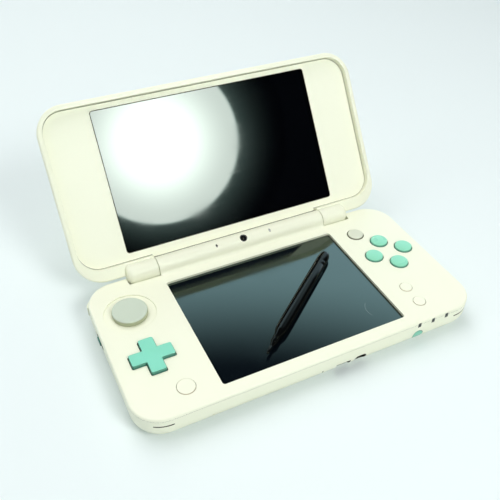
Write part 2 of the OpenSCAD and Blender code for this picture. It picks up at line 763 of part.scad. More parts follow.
module volume_knob() color(mint) {
    block([-side_x - 0.5, volume_y - volume_len / 2, 5.8], [-side_x + 0.7, volume_y + volume_len / 2, 7.8]);
    block([-side_x + 0.6, volume_y - 1, 6.05], [-side_x + wall + 1.5, volume_y + 1, 7.05]);
}

// Right-hand shoulder buttons; the left ones are their mirror images
module outer_shoulder() difference() {
    intersection() {
        difference() {
            base_form(shoulder_out, seam_z);
            translate([0, 0, -1]) slab(body_w - 2 * shoulder_in, body_d - 2 * shoulder_in,
                corner_r - shoulder_in, seam_z + 2);
        }
        block([outer_x0, outer_y0, shoulder_z0], [side_x, body_d, shoulder_z1]);
    }
    post(outer_pivot, pivot_pin_r + run_gap, 0, base_t);
}

module inner_shoulder() difference() {
    intersection() {
        base_form(shoulder_out - 0.2, seam_z);
        block([inner_x0, rear_y - shoulder_in, shoulder_z0], [inner_x1, body_d, inner_z1]);
    }
    post(inner_pivot, pivot_pin_r + run_gap, 0, base_t);
}

module right_shoulder() color(cream) outer_shoulder();
module left_shoulder() color(cream) mirror([1, 0, 0]) outer_shoulder();
module inner_right_shoulder() color(cream) inner_shoulder();
module inner_left_shoulder() color(cream) mirror([1, 0, 0]) inner_shoulder();

module shoulder_pins() color(steel) for (s = [-1, 1]) {
    post([s * outer_pivot[0], outer_pivot[1]], pivot_pin_r, 2.9, shoulder_z1);
    post([s * inner_pivot[0], inner_pivot[1]], pivot_pin_r, 2.9, inner_z1);
}

module shoulder_switches() color(black) for (s = [0, 1]) mirror([s, 0, 0]) {
    rear = rear_y - shoulder_in - 0.85;
    block([outer_x0 + 0.5, rear - 3.6, floor_t + 0.3], [outer_x0 + 4.5, rear, shoulder_z1 - 1.2]);
    block([inner_x0 + 1, rear - 3.4, floor_t + 0.3], [inner_x0 + 4, rear, board_z - 0.15]);
}

module front_camera() color(black) {
    out_of_barrel(2.5, -2, 2.4);
    out_of_barrel(camera_r, 2, hinge_r - 0.3);
}

module microphone() color(black) {
    out_of_barrel(1.6, 1, 2.6, -sensor_x);
    out_of_barrel(0.45, 2, hinge_r - 0.4, -sensor_x);
}

module camera_light() color(ash) {
    out_of_barrel(1.2, 1, 2.6, sensor_x);
    out_of_barrel(0.45, 2, hinge_r - 0.1, sensor_x);
}

module rear_cameras() color(black) for (p = rear_camera_at) {
    post(p, rear_lens_r, 0.15, floor_t + 0.3);
    translate([p[0], p[1], floor_t + lay]) linear_extrude(3.4) round_rect(7, 6.6, 0.8);
}

module base_screws() color(steel) for (p = screw_at) difference() {
    union() {
        post(p, screw_head_r, 0.15, 1.55);
        post(p, screw_r, 1.5, 10.4);
    }
    for (a = [0, 90]) translate([p[0], p[1], 0]) rotate([0, 0, a]) block([-1.3, -0.25, -1], [1.3, 0.25, 0.9]);
}

// ---- hinge ----

module hinge_detent() color(steel) {
    along_axis(hinge_r - 1.7 - lay, 24.2, barrel_half - 0.05);
    along_axis(shaft_r, barrel_half - 1, knuckle_x1 - 4.2);
}

module hinge_pin() color(steel) difference() {
    along_axis(pin_r, -knuckle_x1 + 4.2, -30.2);
    along_axis(1.5, -knuckle_x1, -30);
}

module hinge_cable() color(black) along_axis(1.2, -knuckle_x1 + 4.1, -22);

// ---- lid ----

module knuckle() intersection() {
    translate([knuckle_x0, axis_y, axis_z]) rotate([0, 90, 0])
        rotate_extrude() edge_section(hinge_r, knuckle_len, 0, knuckle_edge);
    block([0, 0, 0], [body_w, body_d, axis_z + hinge_r + 1]);
}

module lid_pocket(g, h) {
    d = pocket_rear - pocket_front;
    translate([0, pocket_front + d / 2, 0]) linear_extrude(h)
        round_rect(body_w - 2 * pocket_side + 2 * g, d + 2 * g, pocket_r + g);
}

module lid_back_shell() color(cream) opened() difference() {
    union() {
        translate([0, hinge_back / 2 + 0.05, rim_z])
            slab(body_w, body_d + hinge_back + 0.1, corner_r, lid_t, low = 0.8, high = lid_edge_r);
        for (s = [0, 1]) mirror([s, 0, 0]) knuckle();
    }
    translate([0, 0, rim_z - 1]) lid_pocket(0, bezel_back - rim_z + 1);
    // room for the display behind the bezel
    block([-side_x + 8, pocket_front + seat, bezel_back - 1], [side_x - 8, pocket_rear - seat, back_z - lid_skin]);
    // room for the centre barrel and the bezel's tongue
    block([-knuckle_x0, pocket_rear - 2, rim_z - 2], [knuckle_x0, body_d, bezel_back]);
    along_axis(hinge_r + hinge_gap, -knuckle_x0, knuckle_x0);
    block([-knuckle_x0, axis_y - 1.5, rim_z - 2], [knuckle_x0, body_d, back_z + 1]);
    // bores for the shaft and the hollow pin
    along_axis(shaft_r + run_gap, 0, knuckle_x1 - 4);
    along_axis(pin_r + run_gap, -knuckle_x1 + 4, 0);
}

module lid_inner_bezel() color(cream) opened() difference() {
    union() {
        translate([0, 0, panel_z]) lid_pocket(-play, bezel_t - lay);
        block([-knuckle_x0 + play, pocket_rear - 12, panel_z], [knuckle_x0 - play, axis_y, bezel_back - lay]);
    }
    along_axis(hinge_r + hinge_gap, -knuckle_x0, knuckle_x0);
    translate([0, glass_y, panel_z - 1]) linear_extrude(glass_t + lay + 1)
        round_rect(glass_w + 2 * play, glass_h + 2 * play, 1.3);
    translate([0, glass_y, panel_z - 1]) linear_extrude(5)
        round_rect(glass_w - 2 * ledge, glass_h - 2 * ledge, 1);
}

module upper_glass() color(black) opened() translate([0, glass_y, panel_z])
    linear_extrude(glass_t) round_rect(glass_w, glass_h, 1.2);

module upper_display() color(steel) opened() translate([0, glass_y, bezel_back + lay])
    linear_extrude(upper_lcd_t) round_rect(glass_w + 2, glass_h + 1, 1);

module lid_ribbon() color("#c98a3c") opened()
    block([-knuckle_x1 + 4, glass_y + glass_h / 2 - 4, bezel_back + upper_lcd_t + 2 * lay],
        [-knuckle_x0, pocket_rear - seat - play, back_z - lid_skin - lay]);

module lid_magnet() color(steel) opened() post([side_x - 15, front_y + 12.5], 2, bezel_back, bezel_back + 1.2);

base_bottom_housing();
base_top_housing();
touch_panel();
lower_display();
mainboard();
processor_shield();
wireless_module();
battery();
game_card_socket();
memory_card_socket();
card_cover();
stylus_sleeve();
stylus();
audio_jack();
charging_port();
speakers();
light_pipes();
slide_pad_tray();
slide_pad_carriage();
slide_pad_cap();
direction_membrane();
direction_pivot();
direction_pad();
face_membrane();
top_button();
right_button();
bottom_button();
left_button();
nub_sensor();
nub_cap();
home_membrane();
home_button();
menu_membrane();
select_button();
start_button();
power_switch();
power_button();
volume_slider();
volume_knob();
left_shoulder();
right_shoulder();
inner_left_shoulder();
inner_right_shoulder();
shoulder_pins();
shoulder_switches();
front_camera();
microphone();
camera_light();
rear_cameras();
base_screws();
hinge_detent();
hinge_pin();
hinge_cable();
lid_back_shell();
lid_inner_bezel();
upper_glass();
upper_display();
lid_ribbon();
lid_magnet();
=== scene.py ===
from math import cos, hypot, pi, radians, sin

import bmesh
import bpy
from mathutils import Matrix, Vector
from mathutils.bvhtree import BVHTree


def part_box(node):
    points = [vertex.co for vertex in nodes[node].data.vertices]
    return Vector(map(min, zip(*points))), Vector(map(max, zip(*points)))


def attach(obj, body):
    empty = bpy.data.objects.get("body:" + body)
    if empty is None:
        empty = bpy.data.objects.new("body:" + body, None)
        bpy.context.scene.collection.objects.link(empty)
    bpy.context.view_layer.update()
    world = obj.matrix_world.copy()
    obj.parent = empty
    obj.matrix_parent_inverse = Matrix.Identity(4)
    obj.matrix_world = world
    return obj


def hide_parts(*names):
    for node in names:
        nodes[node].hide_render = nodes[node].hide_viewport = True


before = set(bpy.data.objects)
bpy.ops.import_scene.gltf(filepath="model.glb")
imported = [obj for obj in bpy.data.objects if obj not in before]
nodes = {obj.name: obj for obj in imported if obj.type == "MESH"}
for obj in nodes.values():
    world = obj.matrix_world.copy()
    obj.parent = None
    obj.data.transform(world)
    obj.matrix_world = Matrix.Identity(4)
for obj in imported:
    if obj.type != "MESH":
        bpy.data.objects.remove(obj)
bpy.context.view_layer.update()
scene = bpy.context.scene
mm = 0.001
print("frame loaded:", len(nodes), "pieces")

# the hinge barrel, where the lid turns, and how far the lid stands open
hingeLine = Vector((0, 40.9, 13.6)) * mm
barrelRadius = 5 * mm
openAngle = radians(124.5)
lidUp = Vector((0, -cos(openAngle), sin(openAngle)))
lidFront = Vector((0, -sin(openAngle), -cos(openAngle)))

# the barrel's camera leans forward of straight up
cameraLean = radians(28)
cameraLine = Vector((0, -sin(cameraLean), cos(cameraLean)))
cameraTangent = Vector((0, cos(cameraLean), sin(cameraLean)))


# small helpers for node trees

def addSocket(tree, label, kind, value=None, out=False):
    side = "OUTPUT" if out else "INPUT"
    socket = tree.interface.new_socket(label, in_out=side, socket_type="NodeSocket" + kind)
    if value is not None:
        socket.default_value = value
    return socket.identifier


def plug(tree, target, value):
    # a socket is linked, a colour gets its alpha, anything else is set
    if isinstance(value, bpy.types.NodeSocket):
        tree.links.new(value, target)
    elif target.type == "RGBA":
        target.default_value = (*value, 1)
    else:
        target.default_value = value


def addNode(tree, kind, values=None, **settings):
    node = tree.nodes.new(kind)
    for label, value in settings.items():
        setattr(node, label, value)
    feed(tree, node, values or {})
    return node


def feed(tree, node, values):
    for label, value in values.items():
        plug(tree, node.inputs[label], value)


def calc(tree, operation, a, b=0.0, c=0.0, clamp=False):
    values = {0: a, 1: b, 2: c}
    return addNode(tree, "ShaderNodeMath", values, operation=operation, use_clamp=clamp).outputs[0]


def minus(tree, a, b):
    return calc(tree, "SUBTRACT", a, b)


def product(tree, first, *others):
    for other in others:
        first = calc(tree, "MULTIPLY", first, other)
    return first


def spread(tree, across, deep):
    # length of a line from its two measures at right angles
    squares = [calc(tree, "POWER", value, 2.0) for value in (across, deep)]
    return calc(tree, "SQRT", calc(tree, "ADD", *squares))


def dot(tree, coords, direction):
    values = {0: coords, 1: direction}
    return addNode(tree, "ShaderNodeVectorMath", values, operation="DOT_PRODUCT").outputs["Value"]


def split(tree, coords):
    return addNode(tree, "ShaderNodeSeparateXYZ", {0: coords}).outputs


def noise(tree, coords, scale, detail=2.0, roughness=0.5):
    values = {"Vector": coords, "Scale": scale, "Detail": detail, "Roughness": roughness}
    return addNode(tree, "ShaderNodeTexNoise", values).outputs["Fac"]


def remap(tree, value, low, high, toLow=0.0, toHigh=1.0, smooth=False):
    values = {"Value": value, "From Min": low, "From Max": high, "To Min": toLow, "To Max": toHigh}
    curve = "SMOOTHSTEP" if smooth else "LINEAR"
    return addNode(tree, "ShaderNodeMapRange", values, interpolation_type=curve).outputs["Result"]


def mixColour(tree, factor, first, second):
    values = {"Factor": factor, 6: first, 7: second}
    return addNode(tree, "ShaderNodeMix", values, data_type="RGBA").outputs[2]


def groupEnds(tree):
    return tree.nodes.new("NodeGroupInput").outputs, tree.nodes.new("NodeGroupOutput").inputs


def newGroup(name, floats, results):
    # a shader group takes coordinates and plain numbers, and gives masks or heights
    tree = bpy.data.node_groups.new(name, "ShaderNodeTree")
    addSocket(tree, "Coords", "Vector")
    for label, value in floats.items():
        addSocket(tree, label, "Float", value)
    for label in results:
        addSocket(tree, label, "Float", out=True)
    return tree, *groupEnds(tree)


# shared surface effects

grainLook = {"coarse": 0.4, "share": (0.6, 0.4), "mottle": (0.3, 0.7)}


def mouldedGrainGroup():
    # fine spark-eroded grain of a moulded shell, with a broad faint mottle
    tree, given, result = newGroup(
        "mouldedGrain", {"Grain Size": 0.0004, "Mottle Size": 0.03}, ["Height", "Mottle"])
    coords, size = given["Coords"], given["Grain Size"]
    fine = noise(tree, coords, calc(tree, "DIVIDE", 1.0, size), roughness=0.6)
    coarse = noise(tree, coords, calc(tree, "DIVIDE", grainLook["coarse"], size), detail=1.0)
    shares = [product(tree, *pair) for pair in zip((fine, coarse), grainLook["share"])]
    plug(tree, result["Height"], calc(tree, "ADD", *shares))
    broad = noise(tree, coords, calc(tree, "DIVIDE", 1.0, given["Mottle Size"]), detail=3.0)
    plug(tree, result["Mottle"], remap(tree, broad, *grainLook["mottle"]))
    return tree


dustLook = {
    "cell": 0.16, "speck": (0.10, 0.04), "patchScale": 90.0, "patch": (0.52, 0.62), "facing": (0.3, 0.8),
    "tone": (0.62, 0.6, 0.52),
}


def settledDustGroup():
    # specks that lie on surfaces which face up
    tree, given, result = newGroup("settledDust", {"Speck Size": 0.0005, "Amount": 0.3}, ["Mask"])
    coords = given["Coords"]
    scale = calc(tree, "DIVIDE", dustLook["cell"], given["Speck Size"])
    cells = addNode(tree, "ShaderNodeTexVoronoi", {"Vector": coords, "Scale": scale})
    speck = remap(tree, cells.outputs["Distance"], *dustLook["speck"])
    patch = remap(tree, noise(tree, coords, dustLook["patchScale"]), *dustLook["patch"])
    normal = addNode(tree, "ShaderNodeNewGeometry").outputs["Normal"]
    facingUp = remap(tree, split(tree, normal)["Z"], *dustLook["facing"])
    plug(tree, result["Mask"], product(tree, speck, patch, facingUp, given["Amount"]))
    return tree


smudgeLook = {
    "patch": (0.45, 0.75), "turn": (0.0, 0.0, 0.7), "stretch": (1.0, 14.0, 14.0), "streakScale": 60.0,
    "streak": (0.55, 0.75), "share": (0.7, 0.3),
}


def fingerSmudgeGroup():
    # broad greasy patches and thin wipe marks on polished faces
    tree, given, result = newGroup("fingerSmudge", {"Patch Size": 0.02}, ["Mask"])
    coords = given["Coords"]
    broad = noise(tree, coords, calc(tree, "DIVIDE", 1.0, given["Patch Size"]), detail=4.0, roughness=0.6)
    patch = remap(tree, broad, *smudgeLook["patch"])
    values = {"Vector": coords, "Rotation": smudgeLook["turn"], "Scale": smudgeLook["stretch"]}
    wiped = addNode(tree, "ShaderNodeMapping", values).outputs[0]
    streak = remap(tree, noise(tree, wiped, smudgeLook["streakScale"]), *smudgeLook["streak"])
    shares = [product(tree, *pair) for pair in zip((patch, streak), smudgeLook["share"])]
    plug(tree, result["Mask"], calc(tree, "ADD", *shares, clamp=True))
    return tree


def paintedFlankShadeGroup():
    # one where a surface turns away from straight up, for painted shade on the flanks of keys in their holes
    tree, given, result = newGroup("sideShade", {"Level": 0.8, "Steep": 0.35}, ["Mask"])
    normal = addNode(tree, "ShaderNodeNewGeometry").outputs["Normal"]
    mask = remap(tree, split(tree, normal)["Z"], given["Level"], given["Steep"], smooth=True)
    plug(tree, result["Mask"], mask)
    return tree


# the marks lie on the barrel's skin; the seam of painted shade has two angles, in degrees, and an inner and an
# outer edge
marksPlace = {
    "skin": (3.9 * mm, 4.0 * mm), "collarSoft": 0.00005, "slotSoft": 0.00004, "slotEndSoft": 0.0001,
    "seamStart": (111.5, 113.5), "seamEnd": (127, 125), "seamInner": (4.88 * mm, 4.92 * mm),
    "seamOuter": (5.12 * mm, 5.08 * mm),
}


def within(tree, size, offset, soft):
    # one inside half of a size from the middle
    left = calc(tree, "MULTIPLY_ADD", size, 0.5, product(tree, offset, -1.0))
    return remap(tree, left, -soft, soft)


def barrelMarksGroup():
    # dark collar round the camera, two short slots beside it, and a line of painted shade where lid and barrel
    # meet
    tree, given, result = newGroup(
        "barrelMarks", {"Collar": 0.0018, "Slot Place": 0.0142, "Slot Length": 0.0015, "Slot Width": 0.0005},
        ["Collar Mask", "Slot Mask", "Gap Mask"])
    values = {0: given["Coords"], 1: hingeLine}
    local = addNode(tree, "ShaderNodeVectorMath", values, operation="SUBTRACT").outputs[0]
    reach, across = (dot(tree, local, direction) for direction in (cameraLine, cameraTangent))
    spot = split(tree, local)
    outside = remap(tree, reach, *marksPlace["skin"])
    rim = minus(tree, given["Collar"], spread(tree, spot["X"], across))
    collar = remap(tree, rim, -marksPlace["collarSoft"], marksPlace["collarSoft"])
    plug(tree, result["Collar Mask"], product(tree, collar, outside))
    sideways = minus(tree, calc(tree, "ABSOLUTE", spot["X"]), given["Slot Place"])
    wide = within(tree, given["Slot Width"], calc(tree, "ABSOLUTE", sideways), marksPlace["slotSoft"])
    long = within(tree, given["Slot Length"], calc(tree, "ABSOLUTE", across), marksPlace["slotEndSoft"])
    plug(tree, result["Slot Mask"], product(tree, wide, long, outside))
    turn = calc(tree, "ARCTAN2", spot["Z"], product(tree, spot["Y"], -1.0))
    far = spread(tree, spot["Y"], spot["Z"])
    edges = [remap(tree, turn, *map(radians, marksPlace[part])) for part in ("seamStart", "seamEnd")]
    edges += [remap(tree, far, *marksPlace[part]) for part in ("seamInner", "seamOuter")]
    plug(tree, result["Gap Mask"], product(tree, *edges))
    return tree


# one short hairline on the lower screen; left and low fade its two ends
scratchPlace = {
    "middle": (37.2 * mm, -23.9 * mm), "left": (-3.6 * mm, -4.6 * mm), "low": (-3.4 * mm, -2.0 * mm),
}


def curvedScratchGroup():
    # a hairline that follows a part of a circle
    tree, given, result = newGroup("curvedScratch", {"Radius": 0.006, "Width": 0.0002}, ["Mask"])
    spot = split(tree, given["Coords"])
    across = minus(tree, spot["X"], scratchPlace["middle"][0])
    deep = minus(tree, spot["Y"], scratchPlace["middle"][1])
    offset = calc(tree, "ABSOLUTE", minus(tree, spread(tree, across, deep), given["Radius"]))
    halfWidth = product(tree, given["Width"], 0.5)
    line = remap(tree, offset, halfWidth, given["Width"], 1.0, 0.0, smooth=True)
    ends = [remap(tree, across, *scratchPlace["left"]), remap(tree, deep, *scratchPlace["low"])]
    plug(tree, result["Mask"], product(tree, line, product(tree, *ends)))
    return tree


grainGroup = mouldedGrainGroup()
flankShadeGroup = paintedFlankShadeGroup()
marksGroup = barrelMarksGroup()
dustGroup = settledDustGroup()
smudgeGroup = fingerSmudgeGroup()
scratchGroup = curvedScratchGroup()


def place(tree, group, coords, values):
    return addNode(tree, "ShaderNodeGroup", {"Coords": coords, **values}, node_tree=group).outputs


def startMaterial(name):
    material = bpy.data.materials.new(name)
    material.use_nodes = True
    tree = material.node_tree
    shader = tree.nodes["Principled BSDF"]
    coords = tree.nodes.new("ShaderNodeTexCoord").outputs["Object"]
    return material, tree, shader, coords


def addBump(tree, shader, height, strength, distance):
    bump = addNode(tree, "ShaderNodeBump", {"Strength": strength, "Distance": distance, "Height": height})
    plug(tree, shader.inputs["Normal"], bump.outputs[0])


# what a finish has unless it says otherwise
plasticLook = {
    "grain": 0.0004, "bump": 0.2, "bumpDepth": 0.25, "mottle": 0.03, "dust": 0.15, "speck": 0.0004,
    "dustRough": 0.3, "sideLevel": 0.8, "sideSteep": 0.35, "roughSpread": 0.05, "ior": 1.49, "specular": 0.5,
    "tint": (1.0, 1.0, 1.0), "coat": 0.0, "coatRough": 0.1,
}


def mouldedPlastic(name, look):
    # opaque moulded plastic with its own grain, mottle and a little dust
    look = {**plasticLook, **look}
    material, tree, shader, coords = startMaterial(name)
    grain = place(tree, grainGroup, coords, {"Grain Size": look["grain"], "Mottle Size": look["mottle"]})
    dust = place(tree, dustGroup, coords, {"Speck Size": look["speck"], "Amount": look["dust"]})
    tone = mixColour(tree, grain["Mottle"], look["colour"], look["shade"])
    tone = mixColour(tree, dust["Mask"], tone, dustLook["tone"])
    # flanks that turn away from straight up take the side colour: painted shade
    if "side" in look:
        side = place(tree, flankShadeGroup, coords, {"Level": look["sideLevel"], "Steep": look["sideSteep"]})
        tone = mixColour(tree, side["Mask"], tone, look["side"])
    if "marks" in look:
        marks = place(tree, marksGroup, coords, look["marks"])
        for mask in ("Gap", "Slot", "Collar"):
            tone = mixColour(tree, marks[mask + " Mask"], tone, look["tones"][mask])
    rough = calc(tree, "MULTIPLY_ADD", grain["Mottle"], look["roughSpread"], look["rough"])
    rough = calc(tree, "MULTIPLY_ADD", dust["Mask"], look["dustRough"], rough)
    feed(tree, shader, {
        "Base Color": tone, "Roughness": rough, "IOR": look["ior"], "Specular IOR Level": look["specular"],
        "Specular Tint": look["tint"], "Coat Weight": look["coat"], "Coat Roughness": look["coatRough"],
    })
    addBump(tree, shader, grain["Height"], look["bump"], look["grain"] * look["bumpDepth"])
    return material


def screenGlass(name, look):
    # black cover glass: the live area behind it is a shade lighter than its printed border
    material, tree, shader, coords = startMaterial(name)
    sideways = calc(tree, "ABSOLUTE", split(tree, coords)["X"])
    upwards = calc(tree, "ABSOLUTE", minus(tree, dot(tree, coords, look["upDirection"]), look["middle"]))
    edges = minus(tree, look["halfWidth"], sideways), minus(tree, look["halfHeight"], upwards)
    inside = remap(tree, calc(tree, "MINIMUM", *edges), -0.0001, 0.0001)
    tone = mixColour(tree, inside, look["border"], look["live"])
    if "scratch" in look:
        scratch = place(tree, scratchGroup, coords, look["scratch"])
        tone = mixColour(tree, scratch["Mask"], tone, look["scratchTone"])
    smudge = place(tree, smudgeGroup, coords, {"Patch Size": look["smudgeSize"]})
    dust = place(tree, dustGroup, coords, {"Speck Size": look["speck"], "Amount": look["dust"]})
    rough = calc(tree, "MULTIPLY_ADD", smudge["Mask"], look["smudge"], look["rough"])
    rough = calc(tree, "MULTIPLY_ADD", dust["Mask"], look["dustRough"], rough)
    feed(tree, shader, {
        "Base Color": tone, "Roughness": rough, "IOR": look["ior"], "Specular Tint": look["tint"]})
    return material


def plainMetal(name, look):
    # bare metal, brushed along one way
    material, tree, shader, coords = startMaterial(name)
    values = {"Vector": coords, "Scale": look["brush"]}
    lines = noise(tree, addNode(tree, "ShaderNodeMapping", values).outputs[0], look["lines"], detail=3.0)
    feed(tree, shader, {
        "Base Color": mixColour(tree, lines, look["colour"], look["shade"]), "Metallic": 1.0,
        "Roughness": calc(tree, "MULTIPLY_ADD", lines, look["roughSpread"], look["rough"]),
    })
    addBump(tree, shader, lines, look["bump"], look["bumpDepth"])
    return material


def circuitBoard(name, look):
    # solder mask with a faint mesh of tracks
    material, tree, shader, coords = startMaterial(name)
    values = {"Scale": look["mesh"], "Vector": coords}
    cells = addNode(tree, "ShaderNodeTexVoronoi", values, distance="MANHATTAN")
    track = remap(tree, cells.outputs["Distance"], *look["trackEdge"])
    tone = mixColour(tree, track, look["mask"], look["track"])
    feed(tree, shader, {"Base Color": tone, "Roughness": look["rough"]})
    addBump(tree, shader, track, look["bump"], look["bumpDepth"])
    return material


creamColour = dict(colour=(0.915, 0.925, 0.74), shade=(0.90, 0.91, 0.72), grain=0.00035)
mintLook = dict(grain=0.0003, bump=0.08)
lensLook = dict(grain=0.001, bump=0.0, dust=0.0, coat=1.0)
# a side colour is painted shade, laid on flanks that turn away from straight up
finishes = {
    "creamShell": dict(creamColour, rough=0.40, bump=0.18, dust=0.12),
    "creamPanel": dict(
        colour=(0.945, 0.95, 0.775), shade=(0.935, 0.94, 0.76), rough=0.46, grain=0.00045, bump=0.22,
        dust=0.1),
    "creamKey": dict(creamColour, side=(0.66, 0.56, 0.40), sideLevel=0.85, rough=0.38, bump=0.12),
    # painted shade for seams, channels and gap edges of the shells
    "paintedSeamShade": dict(colour=(0.20, 0.185, 0.11), shade=(0.16, 0.145, 0.085), rough=0.6),
    # painted shade for the shells' insides, seen through slits, holes and gaps
    "paintedInsideShade": dict(
        colour=(0.022, 0.021, 0.016), shade=(0.03, 0.028, 0.02), rough=0.7, grain=0.0005, specular=0.2),
    "mintKey": dict(
        mintLook, colour=(0.245, 0.72, 0.53), shade=(0.225, 0.70, 0.51), side=(0.085, 0.31, 0.23),
        rough=0.27, dust=0.1),
    "mintFaceKey": dict(
        mintLook, colour=(0.30, 0.735, 0.51), shade=(0.275, 0.715, 0.49), side=(0.15, 0.42, 0.31),
        rough=0.24, dust=0.1),
    "mintTrim": dict(mintLook, colour=(0.24, 0.62, 0.46), shade=(0.22, 0.60, 0.44), rough=0.3),
    # the volume knob's mint darkened: painted shade, as the knob sits in the shaded left wall
    "mintKnobPaintedShade": dict(mintLook, colour=(0.05, 0.22, 0.17), shade=(0.045, 0.2, 0.15), rough=0.35),
    "padRubber": dict(
        colour=(0.60, 0.675, 0.555), shade=(0.575, 0.65, 0.53), side=(0.43, 0.46, 0.30), sideLevel=0.75,
        rough=0.55, grain=0.00025, bump=0.45, dust=0.25),
    "nubRubber": dict(
        colour=(0.72, 0.75, 0.60), shade=(0.69, 0.72, 0.575), side=(0.22, 0.21, 0.15), sideLevel=0.75,
        rough=0.6, grain=0.0003, bump=0.6, dust=0.2),
    "stylusBlack": dict(
        colour=(0.0015, 0.0017, 0.0018), shade=(0.003, 0.0033, 0.0033), rough=0.13, roughSpread=0.04,
        grain=0.0006, bump=0.04, dust=0.05, specular=0.26, tint=(1.0, 1.0, 0.8)),
    "darkPlastic": dict(
        colour=(0.018, 0.018, 0.02), shade=(0.026, 0.026, 0.028), rough=0.42, bump=0.25, dust=0.1),
    "greyPlastic": dict(colour=(0.52, 0.54, 0.5), shade=(0.48, 0.5, 0.46), rough=0.5),
    "batterySleeve": dict(colour=(0.30, 0.31, 0.30), shade=(0.26, 0.27, 0.26), rough=0.45, grain=0.0008),
    "keyRubber": dict(colour=(0.62, 0.62, 0.57), shade=(0.58, 0.58, 0.53), rough=0.65, grain=0.0005, bump=0.3),
    "ribbonFilm": dict(colour=(0.55, 0.27, 0.06), shade=(0.48, 0.23, 0.05), rough=0.35, grain=0.0007, bump=0.1),
    "lightLens": dict(
        colour=(0.03, 0.035, 0.03), shade=(0.04, 0.045, 0.04), rough=0.12, grain=0.0005, bump=0.03),
    "lensGlass": dict(
        lensLook, colour=(0.004, 0.004, 0.006), shade=(0.006, 0.006, 0.01), rough=0.05,
        roughSpread=0.02, coatRough=0.03),
    "lensCoat": dict(
        lensLook, colour=(0.05, 0.035, 0.012), shade=(0.02, 0.015, 0.01), rough=0.04,
        roughSpread=0.01, coatRough=0.02),
}
finishes["creamTop"] = dict(
    finishes["creamShell"],
    marks={"Collar": 1.85 * mm, "Slot Place": 14.2 * mm, "Slot Length": 1.7 * mm, "Slot Width": 0.55 * mm},
    # the gap tone is painted shade along the lid's lower edge
    tones={"Slot": (0.12, 0.12, 0.1), "Gap": (0.07, 0.065, 0.035), "Collar": (0.012, 0.012, 0.014)})
skin = {name: mouldedPlastic(name, look) for name, look in finishes.items()}

glassLook = {"speck": 0.0003, "dustRough": 0.5}
glasses = {
    "upperGlass": dict(
        glassLook, upDirection=tuple(lidUp), middle=lidUp.dot(hingeLine) + 42.9 * mm, halfWidth=53.1 * mm,
        halfHeight=31.9 * mm, border=(0.0005, 0.0006, 0.001), live=(0.0008, 0.001, 0.0018),
        rough=0.03, smudge=0.05, smudgeSize=0.03, dust=0.05, ior=1.52, tint=(1.0, 1.0, 1.0)),
    "touchGlass": dict(
        glassLook, upDirection=(0.0, 1.0, 0.0), middle=-2.4 * mm, halfWidth=42.4 * mm, halfHeight=31.2 * mm,
        border=(0.0015, 0.002, 0.003), live=(0.0025, 0.0045, 0.007), rough=0.045, smudge=0.07,
        smudgeSize=0.015, dust=0.2, ior=1.85, tint=(0.8, 1.0, 0.8),
        scratch={"Radius": 6.2 * mm, "Width": 0.16 * mm}, scratchTone=(0.09, 0.105, 0.1)),
}
skin.update((name, screenGlass(name, look)) for name, look in glasses.items())

metalLook = {"brush": (1.0, 20.0, 20.0), "lines": 300.0, "roughSpread": 0.15, "bump": 0.1, "bumpDepth": 0.00002}
metals = {
    "brightSteel": dict(metalLook, colour=(0.62, 0.62, 0.62), shade=(0.5, 0.5, 0.51), rough=0.25),
    "darkSteel": dict(metalLook, colour=(0.2, 0.2, 0.21), shade=(0.14, 0.14, 0.15), rough=0.3),
}
skin.update((name, plainMetal(name, look)) for name, look in metals.items())

board = {
    "mesh": 700.0, "trackEdge": (0.25, 0.35), "mask": (0.02, 0.13, 0.07), "track": (0.04, 0.22, 0.12),
    "rough": 0.35, "bump": 0.3, "bumpDepth": 0.00003,
}
skin["board"] = circuitBoard("board", board)
print("materials built:", len(skin))


def dress(data, material):
    data.materials.clear()
    data.materials.append(skin[material])


# the frame's pieces that no piece below stands for
wardrobe = {
    "creamShell": "stylus_sleeve",
    "darkPlastic": (
        "slide_pad_carriage audio_jack speakers volume_slider power_switch shoulder_switches"
        " wireless_module nub_sensor hinge_cable microphone rear_cameras"),
    "greyPlastic": "slide_pad_tray camera_light",
    "batterySleeve": "battery",
    "keyRubber": "direction_membrane face_membrane home_membrane menu_membrane",
    "ribbonFilm": "lid_ribbon",
    "lightLens": "light_pipes",
    "touchGlass": "touch_panel",
    "brightSteel": (
        "processor_shield game_card_socket memory_card_socket charging_port direction_pivot shoulder_pins"
        " hinge_detent hinge_pin lid_magnet"),
    "darkSteel": "upper_display lower_display",
    "board": "mainboard",
}
for material, names in wardrobe.items():
    for nodeName in names.split():
        dress(nodes[nodeName].data, material)
print("frame pieces dressed")


# shells: the frame's own shapes with their sharp edges eased

def addObject(name, data, material=None):
    item = bpy.data.objects.new(name, data)
    scene.collection.objects.link(item)
    if material:
        dress(data, material)
    return item


def standFor(piece, body, slot, *nodeNames):
    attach(piece, body)
    if nodeNames:
        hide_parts(*nodeNames)


def bakePiece(piece):
    # the piece as its modifiers leave it
    graph = bpy.context.evaluated_depsgraph_get()
    graph.update()
    piece.data = bpy.data.meshes.new_from_object(piece.evaluated_get(graph))
    piece.modifiers.clear()


# an edge counts as sharp above this angle; joined is how close corners melt together
easing = {"sharp": radians(32), "joined": 0.000002, "level": radians(0.2), "segments": 2}
# where the two painted shade materials come on an eased shell, after its own
inInsideShade, inSeamShade = 1, 2


